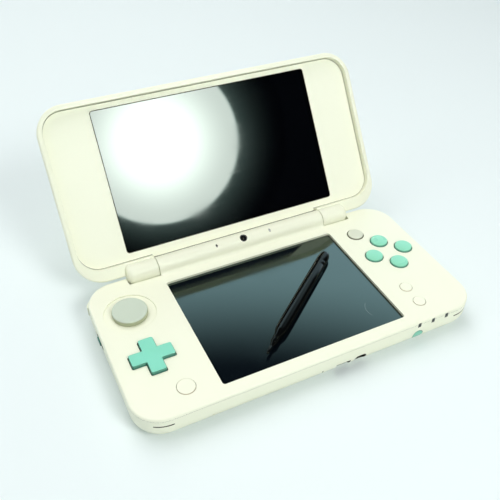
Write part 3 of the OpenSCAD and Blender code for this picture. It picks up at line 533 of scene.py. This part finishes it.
def easedCopy(nodeName, name, body, material, slot, ease, hidden=None, inner=inInsideShade, seam=-1):
    # a shell with eased edges; the hidden test picks the insides of slits, holes and gaps, which get painted
    # shade
    work = bmesh.new()
    work.from_mesh(nodes[nodeName].data)
    bmesh.ops.remove_doubles(work, verts=work.verts, dist=easing["joined"])
    bmesh.ops.dissolve_limit(work, angle_limit=easing["level"], verts=work.verts, edges=work.edges)
    work.normal_update()
    bvh = BVHTree.FromBMesh(work)
    dark = [bool(hidden and hidden(f.calc_center_median(), f.normal, bvh)) for f in work.faces]
    work.verts.index_update()
    eased = {
        tuple(sorted(v.index for v in edge.verts)) for edge in work.edges
        if len(edge.link_faces) == 2 and edge.calc_face_angle() > easing["sharp"] and not keptSharp(edge)}
    verts = [v.co.copy() for v in work.verts]
    faces = [[v.index for v in f.verts] for f in work.faces]
    work.free()
    data = bpy.data.meshes.new(name)
    data.from_pydata(verts, [], faces)
    data.shade_smooth()
    data.set_sharp_from_angle(angle=easing["sharp"])
    weights = data.attributes.new("bevel_weight_edge", "FLOAT", "EDGE")
    for edge in data.edges:
        weights.data[edge.index].value = float(tuple(sorted(edge.vertices)) in eased)
    piece = addObject(name, data, material)
    data.materials.append(skin["paintedInsideShade"])
    data.materials.append(skin["paintedSeamShade"])
    for polygon, flag in zip(data.polygons, dark):
        polygon.material_index = inner * flag
    bevel = piece.modifiers.new("easedEdges", "BEVEL")
    bevel.width = ease * mm
    bevel.segments = easing["segments"]
    bevel.limit_method = "WEIGHT"
    bevel.use_clamp_overlap = False
    bevel.harden_normals = True
    bevel.material = seam
    bakePiece(piece)
    evenBarrel(piece.data)
    standFor(piece, body, slot, nodeName)


# rims stay crisp in two places: round the power button's hole and at the barrel's small holes
crisp = {
    "power": (3.4 * mm, 4 * mm, 3.4 * mm), "barrelAlong": 17 * mm, "barrelOut": 2 * mm, "barrelWide": 2.2 * mm,
}
powerSpot = sum(map(Vector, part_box("power_button")), Vector()) / 2


def keptSharp(edge):
    spot = (edge.verts[0].co + edge.verts[1].co) / 2
    if all(abs(away) < reach for away, reach in zip(spot - powerSpot, crisp["power"])):
        return True
    fromHinge = spot - hingeLine
    return (
        abs(fromHinge.x) < crisp["barrelAlong"] and fromHinge.dot(cameraLine) > crisp["barrelOut"]
        and abs(fromHinge.dot(cameraTangent)) < crisp["barrelWide"])


barrelFit = {"skin": 0.012 * mm, "facing": 0.9}


def evenBarrel(data):
    # corners on the barrel get the true round normal, so long thin faces beside its holes do not show
    normals = [corner.vector.copy() for corner in data.corner_normals]
    for polygon in data.polygons:
        spots = [data.vertices[i].co - hingeLine for i in polygon.vertices]
        rounds = [Vector((0, spot.y, spot.z)) for spot in spots]
        onBarrel = all(abs(r.length - barrelRadius) < barrelFit["skin"] for r in rounds)
        if onBarrel and polygon.normal.dot(sum(rounds, Vector()).normalized()) > barrelFit["facing"]:
            for corner, r in zip(polygon.loop_indices, rounds):
                normals[corner] = r.normalized()
    data.normals_split_custom_set(normals)


bodyForm = {"halfWidth": 80.0, "halfDepth": 40.5, "corner": 13.0, "tuck": 6.5}


def depthInBody(p):
    # how far a point lies under the outer skin of the lower case, in mm
    x, y, z = (v / mm for v in p)
    corner, tuck = bodyForm["corner"], bodyForm["tuck"]
    across = abs(x) - (bodyForm["halfWidth"] - corner)
    deep = abs(y) - (bodyForm["halfDepth"] - corner)
    inCorner = across > 0 and deep > 0
    inset = corner - (hypot(across, deep) if inCorner else max(across, deep))
    if inset < tuck and z < tuck:
        return tuck - hypot(tuck - inset, tuck - z)
    return min(inset, z)


# three hidden tests for faces painted with shade: under the case's outer skin, facing another part of the same
# shell, edge-on to the lid
tests = {"skin": 0.3, "lift": 0.02, "reach": 20 * mm, "edgeOn": 0.3}


def insideCase(center, normal, bvh):
    return depthInBody(center) > tests["skin"]


def facesItself(center, normal, bvh):
    hit = bvh.ray_cast(center + normal * tests["lift"] * mm, normal, tests["reach"])
    return hit[0] is not None


def flank(center, normal, bvh):
    return abs(normal.dot(lidFront)) < tests["edgeOn"]


# for each node: name, body, material, slot and ease in mm; hidden test, its material and the bevel's
shells = {
    "base_top_housing": ("topHousing", "base", "creamTop", "cream_plastic", 0.12, facesItself, inSeamShade, 0),
    "base_bottom_housing": ("bottomHousing", "base", "creamShell", "cream_plastic", 0.1, insideCase),
    "lid_back_shell": ("lidShell", "lid", "creamShell", "cream_plastic", 0.15),
    "lid_inner_bezel": ("lidPanel", "lid", "creamPanel", "cream_plastic", 0.18, flank, inInsideShade, inSeamShade),
    "direction_pad": ("directionPad", "direction_pad", "mintKey", "mint_plastic", 0.35),
    "card_cover": ("cardCover", "card_cover", "creamShell", "cream_plastic", 0.12),
    "left_shoulder": ("leftShoulder", "left_shoulder", "creamShell", "cream_plastic", 0.3),
    "right_shoulder": ("rightShoulder", "right_shoulder", "creamShell", "cream_plastic", 0.3),
    "inner_left_shoulder": ("innerLeftShoulder", "inner_left_shoulder", "creamShell", "cream_plastic", 0.3),
    "inner_right_shoulder": ("innerRightShoulder", "inner_right_shoulder", "creamShell", "cream_plastic", 0.3),
    "power_button": ("powerButton", "power_button", "mintTrim", "mint_plastic", 0.15),
    "volume_knob": ("volumeKnob", "volume_knob", "mintKnobPaintedShade", "mint_plastic", 0.15),
    "upper_glass": ("upperCoverGlass", "lid", "upperGlass", "black_glass", 0.12),
}
for nodeName, setup in shells.items():
    easedCopy(nodeName, *setup)
print("shells eased:", len(shells))


# helpers for geometry nodes

def geoTree(name, floats, vectors=(), counts=()):
    # a geometry group takes plain numbers, vectors, counts and a material
    tree = bpy.data.node_groups.new(name, "GeometryNodeTree")
    addSocket(tree, "Geometry", "Geometry", out=True)
    ids = {"Geometry": addSocket(tree, "Geometry", "Geometry")}
    kinds = {"Float": floats, "Vector": vectors, "Int": counts, "Material": ["Material"]}
    for kind, labels in kinds.items():
        for label in labels:
            ids[label] = addSocket(tree, label, kind)
    given, result = groupEnds(tree)
    return tree, ids, given, result["Geometry"]


def vector(tree, x=0.0, y=0.0, z=0.0):
    return addNode(tree, "ShaderNodeCombineXYZ", {"X": x, "Y": y, "Z": z}).outputs[0]


def shifted(tree, geometry, offset):
    return addNode(tree, "GeometryNodeTransform", {"Geometry": geometry, "Translation": offset}).outputs[0]


def joined(tree, *parts):
    node = addNode(tree, "GeometryNodeJoinGeometry")
    for part in parts:
        tree.links.new(part, node.inputs[0])
    return node.outputs[0]


def cylinder(tree, sides, radius, depth):
    values = {"Vertices": sides, "Radius": radius, "Depth": depth}
    return addNode(tree, "GeometryNodeMeshCylinder", values).outputs["Mesh"]


def cube(tree, size):
    return addNode(tree, "GeometryNodeMeshCube", {"Size": size}).outputs["Mesh"]


def copies(tree, points, shape):
    return addNode(tree, "GeometryNodeInstanceOnPoints", {"Points": points, "Instance": shape}).outputs[0]


def finishTree(tree, geometry, given, result):
    real = addNode(tree, "GeometryNodeRealizeInstances", {"Geometry": geometry}).outputs[0]
    skinned = addNode(tree, "GeometryNodeSetMaterial", {"Geometry": real, "Material": given["Material"]})
    tree.links.new(skinned.outputs[0], result)


def bakeTree(name, built, values, points=((0, 0, 0),)):
    tree, ids = built
    start = bpy.data.meshes.new(name)
    start.from_pydata(points, [], [])
    piece = addObject(name, start)
    modifier = piece.modifiers.new(tree.name, "NODES")
    modifier.node_group = tree
    for label, value in values.items():
        modifier[ids[label]] = value
    bakePiece(piece)
    return piece


def outwards(piece):
    work = bmesh.new()
    work.from_mesh(piece.data)
    bmesh.ops.recalc_face_normals(work, faces=work.faces)
    work.to_mesh(piece.data)
    work.free()
    return piece


# round keys; a profile part is its start and its length along the wrapped grid

roundKeys = {
    "flangeOut": 0.8, "flangeLow": 10.55, "flangeHigh": 11.4, "flangeSides": 64,
    "rings": 44, "sides": 96, "joined": 0.000001,
    "profile": {"face": (0.0, 0.4), "bend": (0.4, 0.35), "side": (0.75, 0.1), "close": (0.88, 0.12)},
    "domed": {"edge": 0.62, "crown": 0.25, "material": "mintFaceKey", "slot": "mint_plastic"},
    "flat": {"edge": 0.34, "crown": 0.05, "material": "creamKey", "slot": "cream_plastic"},
    "keys": {
        "top_button": ("topKey", (62.6, 13.4), 4.2, 14.0, "domed"),
        "right_button": ("rightKey", (71.1, 4.9), 4.2, 14.0, "domed"),
        "bottom_button": ("bottomKey", (62.6, -3.6), 4.2, 14.0, "domed"),
        "left_button": ("leftKey", (54.1, 4.9), 4.2, 14.0, "domed"),
        "home_button": ("homeKey", (-56.9, -29.1), 3.8, 13.15, "flat"),
        "select_button": ("selectKey", (55.0, -19.4), 2.8, 13.1, "flat"),
        "start_button": ("startKey", (55.0, -29.4), 2.8, 13.1, "flat"),
    },
}


def turnedKeyTree():
    # a grid is wrapped round the axis: crowned top, rounded edge, straight side, closed bottom
    floats = ["Radius", "Top", "Bottom", "Edge", "Crown", "Flange Radius", "Flange Low", "Flange High"]
    tree, ids, given, result = geoTree("turnedKey", floats, ["Center"])
    grid = addNode(tree, "GeometryNodeMeshGrid", {
        "Vertices X": roundKeys["rings"], "Vertices Y": roundKeys["sides"] + 1})
    spot = split(tree, addNode(tree, "GeometryNodeInputPosition").outputs[0])
    along = calc(tree, "ADD", spot["X"], 0.5)
    turn = product(tree, calc(tree, "ADD", spot["Y"], 0.5), 2 * pi)
    parts = {
        part: calc(tree, "DIVIDE", minus(tree, along, start), length, clamp=True)
        for part, (start, length) in roundKeys["profile"].items()}
    face, edge = parts["face"], given["Edge"]
    bend = product(tree, parts["bend"], pi / 2)
    flatRadius = minus(tree, given["Radius"], edge)
    radius = calc(tree, "MULTIPLY_ADD", calc(tree, "SINE", bend), edge, product(tree, flatRadius, face))
    radius = product(tree, radius, minus(tree, 1.0, parts["close"]))
    crownDrop = product(tree, given["Crown"], product(tree, face, face))
    edgeDrop = product(tree, edge, minus(tree, 1.0, calc(tree, "COSINE", bend)))
    height = minus(tree, given["Top"], calc(tree, "ADD", crownDrop, edgeDrop))
    drop = product(tree, minus(tree, height, given["Bottom"]), parts["side"])
    height = minus(tree, height, drop)
    across, deep = (product(tree, radius, calc(tree, wave, turn)) for wave in ("COSINE", "SINE"))
    values = {"Geometry": grid.outputs["Mesh"], "Position": vector(tree, across, deep, height)}
    wrapped = addNode(tree, "GeometryNodeSetPosition", values).outputs[0]
    values = {"Geometry": wrapped, "Distance": roundKeys["joined"]}
    sealed = addNode(tree, "GeometryNodeMergeByDistance", values).outputs[0]
    smooth = addNode(tree, "GeometryNodeSetShadeSmooth", {"Geometry": sealed}).outputs[0]
    flangeDepth = minus(tree, given["Flange High"], given["Flange Low"])
    flange = cylinder(tree, roundKeys["flangeSides"], given["Flange Radius"], flangeDepth)
    middle = product(tree, calc(tree, "ADD", given["Flange High"], given["Flange Low"]), 0.5)
    lifted = shifted(tree, flange, vector(tree, z=middle))
    finishTree(tree, shifted(tree, joined(tree, smooth, lifted), given["Center"]), given, result)
    return tree, ids


keyTree = turnedKeyTree()
for nodeName, (name, (x, y), radius, top, kind) in roundKeys["keys"].items():
    look = roundKeys[kind]
    values = {
        "Radius": radius * mm, "Top": top * mm, "Bottom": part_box(nodeName)[0][2],
        "Edge": look["edge"] * mm, "Crown": look["crown"] * mm,
        "Flange Radius": (radius + roundKeys["flangeOut"]) * mm,
        "Flange Low": roundKeys["flangeLow"] * mm, "Flange High": roundKeys["flangeHigh"] * mm,
        "Center": (x * mm, y * mm, 0.0), "Material": skin[look["material"]],
    }
    standFor(outwards(bakeTree(name, keyTree, values)), nodeName, look["slot"], nodeName)
print("round keys turned:", len(roundKeys["keys"]))


# turned pieces: slide pad, nub and camera lens

def meshPiece(name, work, material, crease):
    # a closed shape, smooth but for edges above the crease angle
    bmesh.ops.recalc_face_normals(work, faces=work.faces)
    data = bpy.data.meshes.new(name)
    work.to_mesh(data)
    work.free()
    data.shade_smooth()
    data.set_sharp_from_angle(angle=radians(crease))
    return addObject(name, data, material)


def around(sides):
    return [2 * pi * i / sides for i in range(sides)]


def bridge(work, rings, sides):
    # faces between each ring and the next; a ring may be a single point
    for low, high in zip(rings, rings[1:]):
        for i in range(sides):
            j = (i + 1) % sides
            corners = [low[i % len(low)], low[j % len(low)], high[j % len(high)], high[i % len(high)]]
            corners = [v for k, v in enumerate(corners) if v not in corners[:k]]
            if len(corners) > 2:
                work.faces.new(corners)


def lathe(name, profile, material, place=Matrix.Identity(4), sides=96):
    # profile runs from the axis over the outside and back to the axis, in mm
    work = bmesh.new()
    rings = []
    for r, z in profile:
        turns = around(sides) if r else [0.0]
        rings.append([work.verts.new((r * mm * cos(a), r * mm * sin(a), z * mm)) for a in turns])
    bridge(work, rings, sides)
    bmesh.ops.transform(work, matrix=place, verts=work.verts)
    return meshPiece(name, work, material, 40)


def arc(cr, cz, radius, start, end, steps=8):
    turns = [radians(start + (end - start) * i / steps) for i in range(steps + 1)]
    return [(cr + radius * cos(a), cz + radius * sin(a)) for a in turns]


def upright(p):
    return Matrix.Translation((p["center"][0] * mm, p["center"][1] * mm, 0))


slidePad = {
    "center": (-64.4, 18.2), "radius": 7.85, "top": 14.9, "dish": 12.3, "hollow": 0.55, "rim": 0.85,
    "bowlReach": 0.93, "bowlCurve": 2.2, "foot": [(0, 0.5), (0.12, 0.15), (0.4, 0)],
    "stem": 3.2, "skirt": 9.6, "skirtLow": 10.4, "skirtHigh": 11.1, "post": 3.1, "sides": 128,
}


def slidePadProfile(p):
    # hollowed top, round rim, flank down to the dish, then the stem and the skirt inside the case
    lip, steps = p["radius"] - p["rim"], 12
    hollow = [
        (lip * p["bowlReach"] * i / steps, p["top"] - p["hollow"] * (1 - (i / steps) ** p["bowlCurve"]))
        for i in range(steps + 1)]
    side = [(p["radius"] - inward, p["dish"] + up) for inward, up in p["foot"]]
    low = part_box("slide_pad_cap")[0][2] / mm
    skirt = [
        (p["stem"], p["dish"]), (p["stem"], p["skirtHigh"]), (p["skirt"], p["skirtHigh"]),
        (p["skirt"], p["skirtLow"]), (p["post"], p["skirtLow"]), (p["post"], low), (0, low)]
    return hollow + arc(lip, p["top"] - p["rim"], p["rim"], 80, 0) + side + skirt


slidePadCap = lathe("slidePadCap", slidePadProfile(slidePad), "padRubber", upright(slidePad), slidePad["sides"])
standFor(slidePadCap, "slide_pad_cap", "grey_plastic", "slide_pad_cap")

nub = {"center": (54.9, 22.8), "radius": 3.9, "top": 13.8, "edge": 0.75, "crown": 0.22}


def nubProfile(p):
    flat, steps = p["radius"] - p["edge"], 10
    crown = [(flat * i / steps, p["top"] - p["crown"] * (i / steps) ** 2) for i in range(steps + 1)]
    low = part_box("nub_cap")[0][2] / mm
    edge = arc(flat, p["top"] - p["crown"] - p["edge"], p["edge"], 80, 0)
    return crown + edge + [(p["radius"], low), (0, low)]


standFor(lathe("nubCap", nubProfile(nub), "nubRubber", upright(nub)), "base", "grey_plastic", "nub_cap")

# the camera looks out of the barrel, leaning forward of straight up; measured from the hinge line
barrelEye = {
    "well": [(0, 3.2), (0.8, 3.2), (0.8, 4.15), (1.0, 4.35), (1.2, 4.62)], "lip": (1.33, 4.55, 0.15, 150, 0, 6),
    "tube": [(1.48, 2.4), (2.45, 2.4), (2.45, -2.0), (0, -2.0)],
    "lens": {"radius": 1.0, "base": 3.0, "rise": 1.35, "sweep": 50, "steps": 10, "back": 3.7}, "sides": 64,
}


def lensProfile(p):
    turns = [radians(p["sweep"] * i / p["steps"]) for i in range(p["steps"] + 1)]
    return [(p["radius"] * sin(a), p["base"] + p["rise"] * cos(a)) for a in turns] + [(0, p["back"])]


cameraPlace = Matrix.Translation(hingeLine) @ Matrix.Rotation(cameraLean, 4, "X")
ringProfile = barrelEye["well"] + arc(*barrelEye["lip"]) + barrelEye["tube"]
cameraRing = lathe("cameraRing", ringProfile, "lensGlass", cameraPlace, barrelEye["sides"])
standFor(cameraRing, "base", "black_glass", "front_camera")
cameraLens = lathe("cameraLens", lensProfile(barrelEye["lens"]), "lensCoat", cameraPlace, barrelEye["sides"])
standFor(cameraLens, "base", "black_glass")
print("slide pad, nub and lens turned")


# stylus; its profile is distance from the tip and radius, in mm

stylus = {
    "tip": (-21.2, -28.4, 13.7), "turn": 39.0, "half": 2.15, "sides": 48,
    "profile": [
        (0.0, 0.12), (0.12, 0.38), (0.35, 0.56), (0.7, 0.66), (1.2, 0.7), (4.1, 0.74), (4.2, 0.7), (4.5, 0.74),
        (6.9, 1.5), (7.1, 1.56), (8.2, 1.58), (8.3, 1.48), (8.8, 1.48), (8.9, 1.56), (10.9, 1.6), (11.1, 1.64),
        (13.6, 2.42), (13.9, 2.5), (16.0, 2.66), (19.0, 2.75), (24.0, 2.79), (36.0, 2.8), (48.0, 2.8),
        (60.0, 2.8), (60.1, 2.68), (60.5, 2.68), (60.6, 2.8), (62.5, 2.78), (62.6, 2.66), (63.0, 2.66),
        (63.1, 2.77), (66.0, 2.72), (67.8, 2.5), (69.0, 2.1), (69.6, 1.55), (69.9, 1.0), (70.0, 0.3)],
}


def buildStylus(p):
    # rings along the pen, flattened to its two long faces where it is thick
    turn = radians(p["turn"])
    axis = Vector((cos(turn), sin(turn), 0))
    across = Vector((-sin(turn), cos(turn), 0))
    work = bmesh.new()
    rings = []
    for reach, r in p["profile"]:
        middle = Vector(p["tip"]) + axis * reach
        half = min(r, p["half"])
        rings.append([
            work.verts.new((middle + across * (cos(a) * r) + Vector((0, 0, sin(a) * half))) * mm)
            for a in around(p["sides"])])
    bridge(work, rings, p["sides"])
    work.faces.new(rings[0])
    work.faces.new(rings[-1])
    return meshPiece("stylusPen", work, "stylusBlack", 38)


standFor(buildStylus(stylus), "stylus", "stylus_plastic", "stylus")
print("stylus built")


# screws under the base

screws = {
    "places": [(-74.5, 4.5), (-72.0, -22.0), (74.0, -14.0), (73.0, 22.0)], "head": 2.18, "low": 0.2,
    "high": 1.55, "shank": 1.0, "tip": 10.4, "slot": 0.5, "reach": 2.6, "neck": 0.9,
    "headSides": 48, "shankSides": 32,
}


def crossScrewTree():
    # a round head with a cross cut into it, on a plain shank
    floats = ["Head Radius", "Head Height", "Shank Radius", "Length", "Slot Width", "Slot Length"]
    tree, ids, given, result = geoTree("crossScrew", floats)
    height = given["Head Height"]
    head = cylinder(tree, screws["headSides"], given["Head Radius"], height)
    raised = shifted(tree, head, vector(tree, z=product(tree, height, 0.5)))
    arms = (("Slot Length", "Slot Width"), ("Slot Width", "Slot Length"))
    bars = [cube(tree, vector(tree, given[long], given[wide], height)) for long, wide in arms]
    values = {"Mesh 1": raised, "Mesh 2": joined(tree, *bars)}
    cut = addNode(tree, "GeometryNodeMeshBoolean", values, operation="DIFFERENCE")
    shank = cylinder(tree, screws["shankSides"], given["Shank Radius"], given["Length"])
    rise = calc(tree, "ADD", product(tree, given["Length"], 0.5), product(tree, height, screws["neck"]))
    whole = joined(tree, cut.outputs["Mesh"], shifted(tree, shank, vector(tree, z=rise)))
    finishTree(tree, copies(tree, given["Geometry"], whole), given, result)
    return tree, ids


screwValues = {
    "Head Radius": screws["head"] * mm, "Head Height": (screws["high"] - screws["low"]) * mm,
    "Shank Radius": screws["shank"] * mm, "Length": (screws["tip"] - screws["high"]) * mm,
    "Slot Width": screws["slot"] * mm, "Slot Length": screws["reach"] * mm, "Material": skin["darkSteel"],
}
screwPoints = [(x * mm, y * mm, screws["low"] * mm) for x, y in screws["places"]]
baseScrews = outwards(bakeTree("baseScrews", crossScrewTree(), screwValues, screwPoints))
standFor(baseScrews, "base", "steel", "base_screws")

# grip ribs on the volume knob

ribs = {"count": 4, "from": (-80.35, 12.4, 6.8), "to": (-80.35, 14.8, 6.8), "size": (0.3, 0.28, 1.5)}


def ribRowTree():
    tree, ids, given, result = geoTree("ribRow", [], ["Start", "Step", "Size"], ["Count"])
    values = {"Count": given["Count"], "Start Location": given["Start"], "Offset": given["Step"]}
    row = addNode(tree, "GeometryNodeMeshLine", values)
    finishTree(tree, copies(tree, row.outputs["Mesh"], cube(tree, given["Size"])), given, result)
    return tree, ids


ribStep = (Vector(ribs["to"]) - Vector(ribs["from"])) * mm / (ribs["count"] - 1)
ribValues = {
    "Count": ribs["count"], "Start": tuple(Vector(ribs["from"]) * mm), "Step": tuple(ribStep),
    "Size": tuple(Vector(ribs["size"]) * mm), "Material": skin["mintKnobPaintedShade"],
}
standFor(bakeTree("volumeRibs", ribRowTree(), ribValues), "volume_knob", "mint_plastic")
print("screws and ribs set")

# camera, light and room

view = {
    "azimuth": -26.568, "elevation": 40.188, "roll": 1.039, "focalPixels": 645.066, "framePixels": 500,
    "sensor": 36, "aim": (1.583, 34.462, 12.8), "distance": 314.61, "near": 0.01,
}


def buildCamera():
    a, e, r = (radians(view[k]) for k in ("azimuth", "elevation", "roll"))
    back = Vector((sin(a) * cos(e), -cos(a) * cos(e), sin(e)))
    right = Vector((cos(a), sin(a), 0))
    up = back.cross(right)
    right, up = right * cos(r) + up * sin(r), up * cos(r) - right * sin(r)
    data = bpy.data.cameras.new("studioCamera")
    data.sensor_width = view["sensor"]
    data.lens = view["sensor"] * view["focalPixels"] / view["framePixels"]
    data.clip_start = view["near"]
    camera = addObject("studioCamera", data)
    turn = Matrix((right, up, back)).transposed().to_4x4()
    camera.matrix_world = Matrix.Translation((Vector(view["aim"]) + back * view["distance"]) * mm) @ turn
    scene.camera = camera


# lamps in metres and watts; polished faces mirror the box face and the wall instead of them
lamps = {
    "roundBox": {"place": (0.196, -0.6145, 0.586), "aim": (-0.024, 0.075, 0.059), "size": 0.303, "power": 3.3},
    "overhead": {"place": (-0.12, 0.35, 0.95), "aim": (0, 0, 0), "size": 0.9, "power": 5.0},
    "leftFill": {"place": (-0.8, 0.1, 0.7), "aim": (-0.15, 0.03, 0.02), "size": 0.5, "power": 0.9},
    "backWash": {"place": (0.16, 0.95, 0.75), "aim": (0.12, 0.42, 0), "size": 0.6, "power": 1.5},
}


def pointAt(item, setup):
    item.location = setup["place"]
    item.rotation_euler = (Vector(setup["place"]) - Vector(setup["aim"])).to_track_quat("Z", "Y").to_euler()


def addLamp(name, setup):
    data = bpy.data.lights.new(name, "AREA")
    data.shape = "DISK"
    data.size = setup["size"]
    data.energy = setup["power"]
    lamp = addObject(name, data)
    pointAt(lamp, setup)
    lamp.visible_glossy = False


def addDisc(name, radius):
    # a round flat piece of the set, with a material of its own to fill in
    work = bmesh.new()
    bmesh.ops.create_circle(work, cap_ends=True, segments=96, radius=radius)
    data = bpy.data.meshes.new(name)
    work.to_mesh(data)
    work.free()
    material, tree, shader, coords = startMaterial(name)
    data.materials.append(material)
    disc = addObject(name, data)
    far = addNode(tree, "ShaderNodeVectorMath", {0: coords}, operation="LENGTH").outputs["Value"]
    return disc, tree, shader, far


def show(tree, surface):
    tree.links.new(surface.outputs[0], tree.nodes["Material Output"].inputs["Surface"])


# ratios are of the face's radius; beyond it a halo reaches out and falls off
boxFace = {
    "edge": 0.1515, "reach": 1.6, "core": 34.0, "rim": 14.6, "coreFall": (0.1, 0.95), "border": (0.985, 1.01),
    "halo": 1.5, "haloFall": 3.0, "faceTint": (0.87, 1.0, 0.91), "haloTint": (0.62, 1.0, 0.88),
}


def buildBoxFace():
    # the bright face of the round box, as polished parts mirror it: hot middle, paler rim, faint halo
    face, tree, shader, far = addDisc("boxFace", boxFace["edge"] * boxFace["reach"])
    tree.nodes.remove(shader)
    ratio = calc(tree, "DIVIDE", far, boxFace["edge"])
    inner = remap(tree, ratio, *boxFace["coreFall"], boxFace["core"], boxFace["rim"], smooth=True)
    beyond = minus(tree, ratio, 1.0)
    faded = calc(tree, "DIVIDE", beyond, boxFace["reach"] - 1.0, clamp=True)
    halo = calc(tree, "POWER", minus(tree, 1.0, faded), boxFace["haloFall"])
    halo = product(tree, halo, boxFace["halo"])
    inside = remap(tree, ratio, *boxFace["border"], 1.0, 0.0)
    tint = mixColour(tree, inside, boxFace["haloTint"], boxFace["faceTint"])
    strength = calc(tree, "ADD", product(tree, inner, inside), halo)
    glow = addNode(tree, "ShaderNodeEmission", {"Color": tint, "Strength": strength})
    show(tree, glow)
    pointAt(face, lamps["roundBox"])
    face.visible_camera = face.visible_diffuse = face.visible_shadow = face.visible_transmission = False


floorLook = {
    "radius": 4.0, "low": -0.0002, "tone": (0.80, 0.868, 0.862), "lift": (0.02, 0.47), "reach": (0.45, 1.5),
    "rough": 0.9, "specular": 0.1,
}


def buildFloor():
    # the floor looks brighter further out; that lift is seen and mirrored, but it lights nothing
    floor, tree, shader, far = addDisc("studioFloor", floorLook["radius"])
    feed(tree, shader, {
        "Base Color": floorLook["tone"], "Roughness": floorLook["rough"],
        "Specular IOR Level": floorLook["specular"]})
    ray = tree.nodes.new("ShaderNodeLightPath").outputs
    lift = remap(tree, far, *floorLook["reach"], *floorLook["lift"], smooth=True)
    mirrored = calc(tree, "MAXIMUM", ray["Is Glossy Ray"], ray["Is Transmission Ray"])
    seen = calc(tree, "MAXIMUM", ray["Is Camera Ray"], mirrored)
    glow = addNode(tree, "ShaderNodeEmission", {"Strength": product(tree, seen, lift)})
    show(tree, addNode(tree, "ShaderNodeAddShader", {0: shader.outputs[0], 1: glow.outputs[0]}))
    floor.location = (0, 0, floorLook["low"])


room = {
    "ambient": 0.34, "ambientTint": (0.90, 0.975, 1.0), "wall": 1.83, "wallTint": (0.7, 1.0, 1.25),
    "dim": 0.012, "wallTop": (0.665, 0.775), "wallSide": (0.05, 0.4), "backdrop": 0.85,
    "backdropTint": (0.93, 0.985, 1.0),
}


def buildWorld():
    # polished faces mirror a pale wall behind the object, up to about 45 degrees, in a dim room
    world = bpy.data.worlds.new("studioWorld")
    scene.world = world
    world.use_nodes = True
    tree = world.node_tree
    toward = split(tree, tree.nodes.new("ShaderNodeTexCoord").outputs["Generated"])
    below = remap(tree, toward["Z"], *room["wallTop"], 1.0, 0.0, smooth=True)
    behind = remap(tree, toward["Y"], *room["wallSide"], smooth=True)
    mirror = calc(tree, "MULTIPLY_ADD", product(tree, below, behind), room["wall"], room["dim"])
    ray = tree.nodes.new("ShaderNodeLightPath").outputs
    strength, tint = room["ambient"], room["ambientTint"]
    seen = {"Glossy": (mirror, room["wallTint"]), "Camera": (room["backdrop"], room["backdropTint"])}
    for kind, (level, colour) in seen.items():
        factor = ray[f"Is {kind} Ray"]
        strength = addNode(tree, "ShaderNodeMix", {"Factor": factor, 2: strength, 3: level}).outputs[0]
        tint = mixColour(tree, factor, tint, colour)
    feed(tree, tree.nodes["Background"], {"Color": tint, "Strength": strength})


buildCamera()
for lampName, setup in lamps.items():
    addLamp(lampName, setup)
buildBoxFace()
buildFloor()
buildWorld()
scene.view_settings.view_transform = "Standard"
print("room, lamps and camera ready")
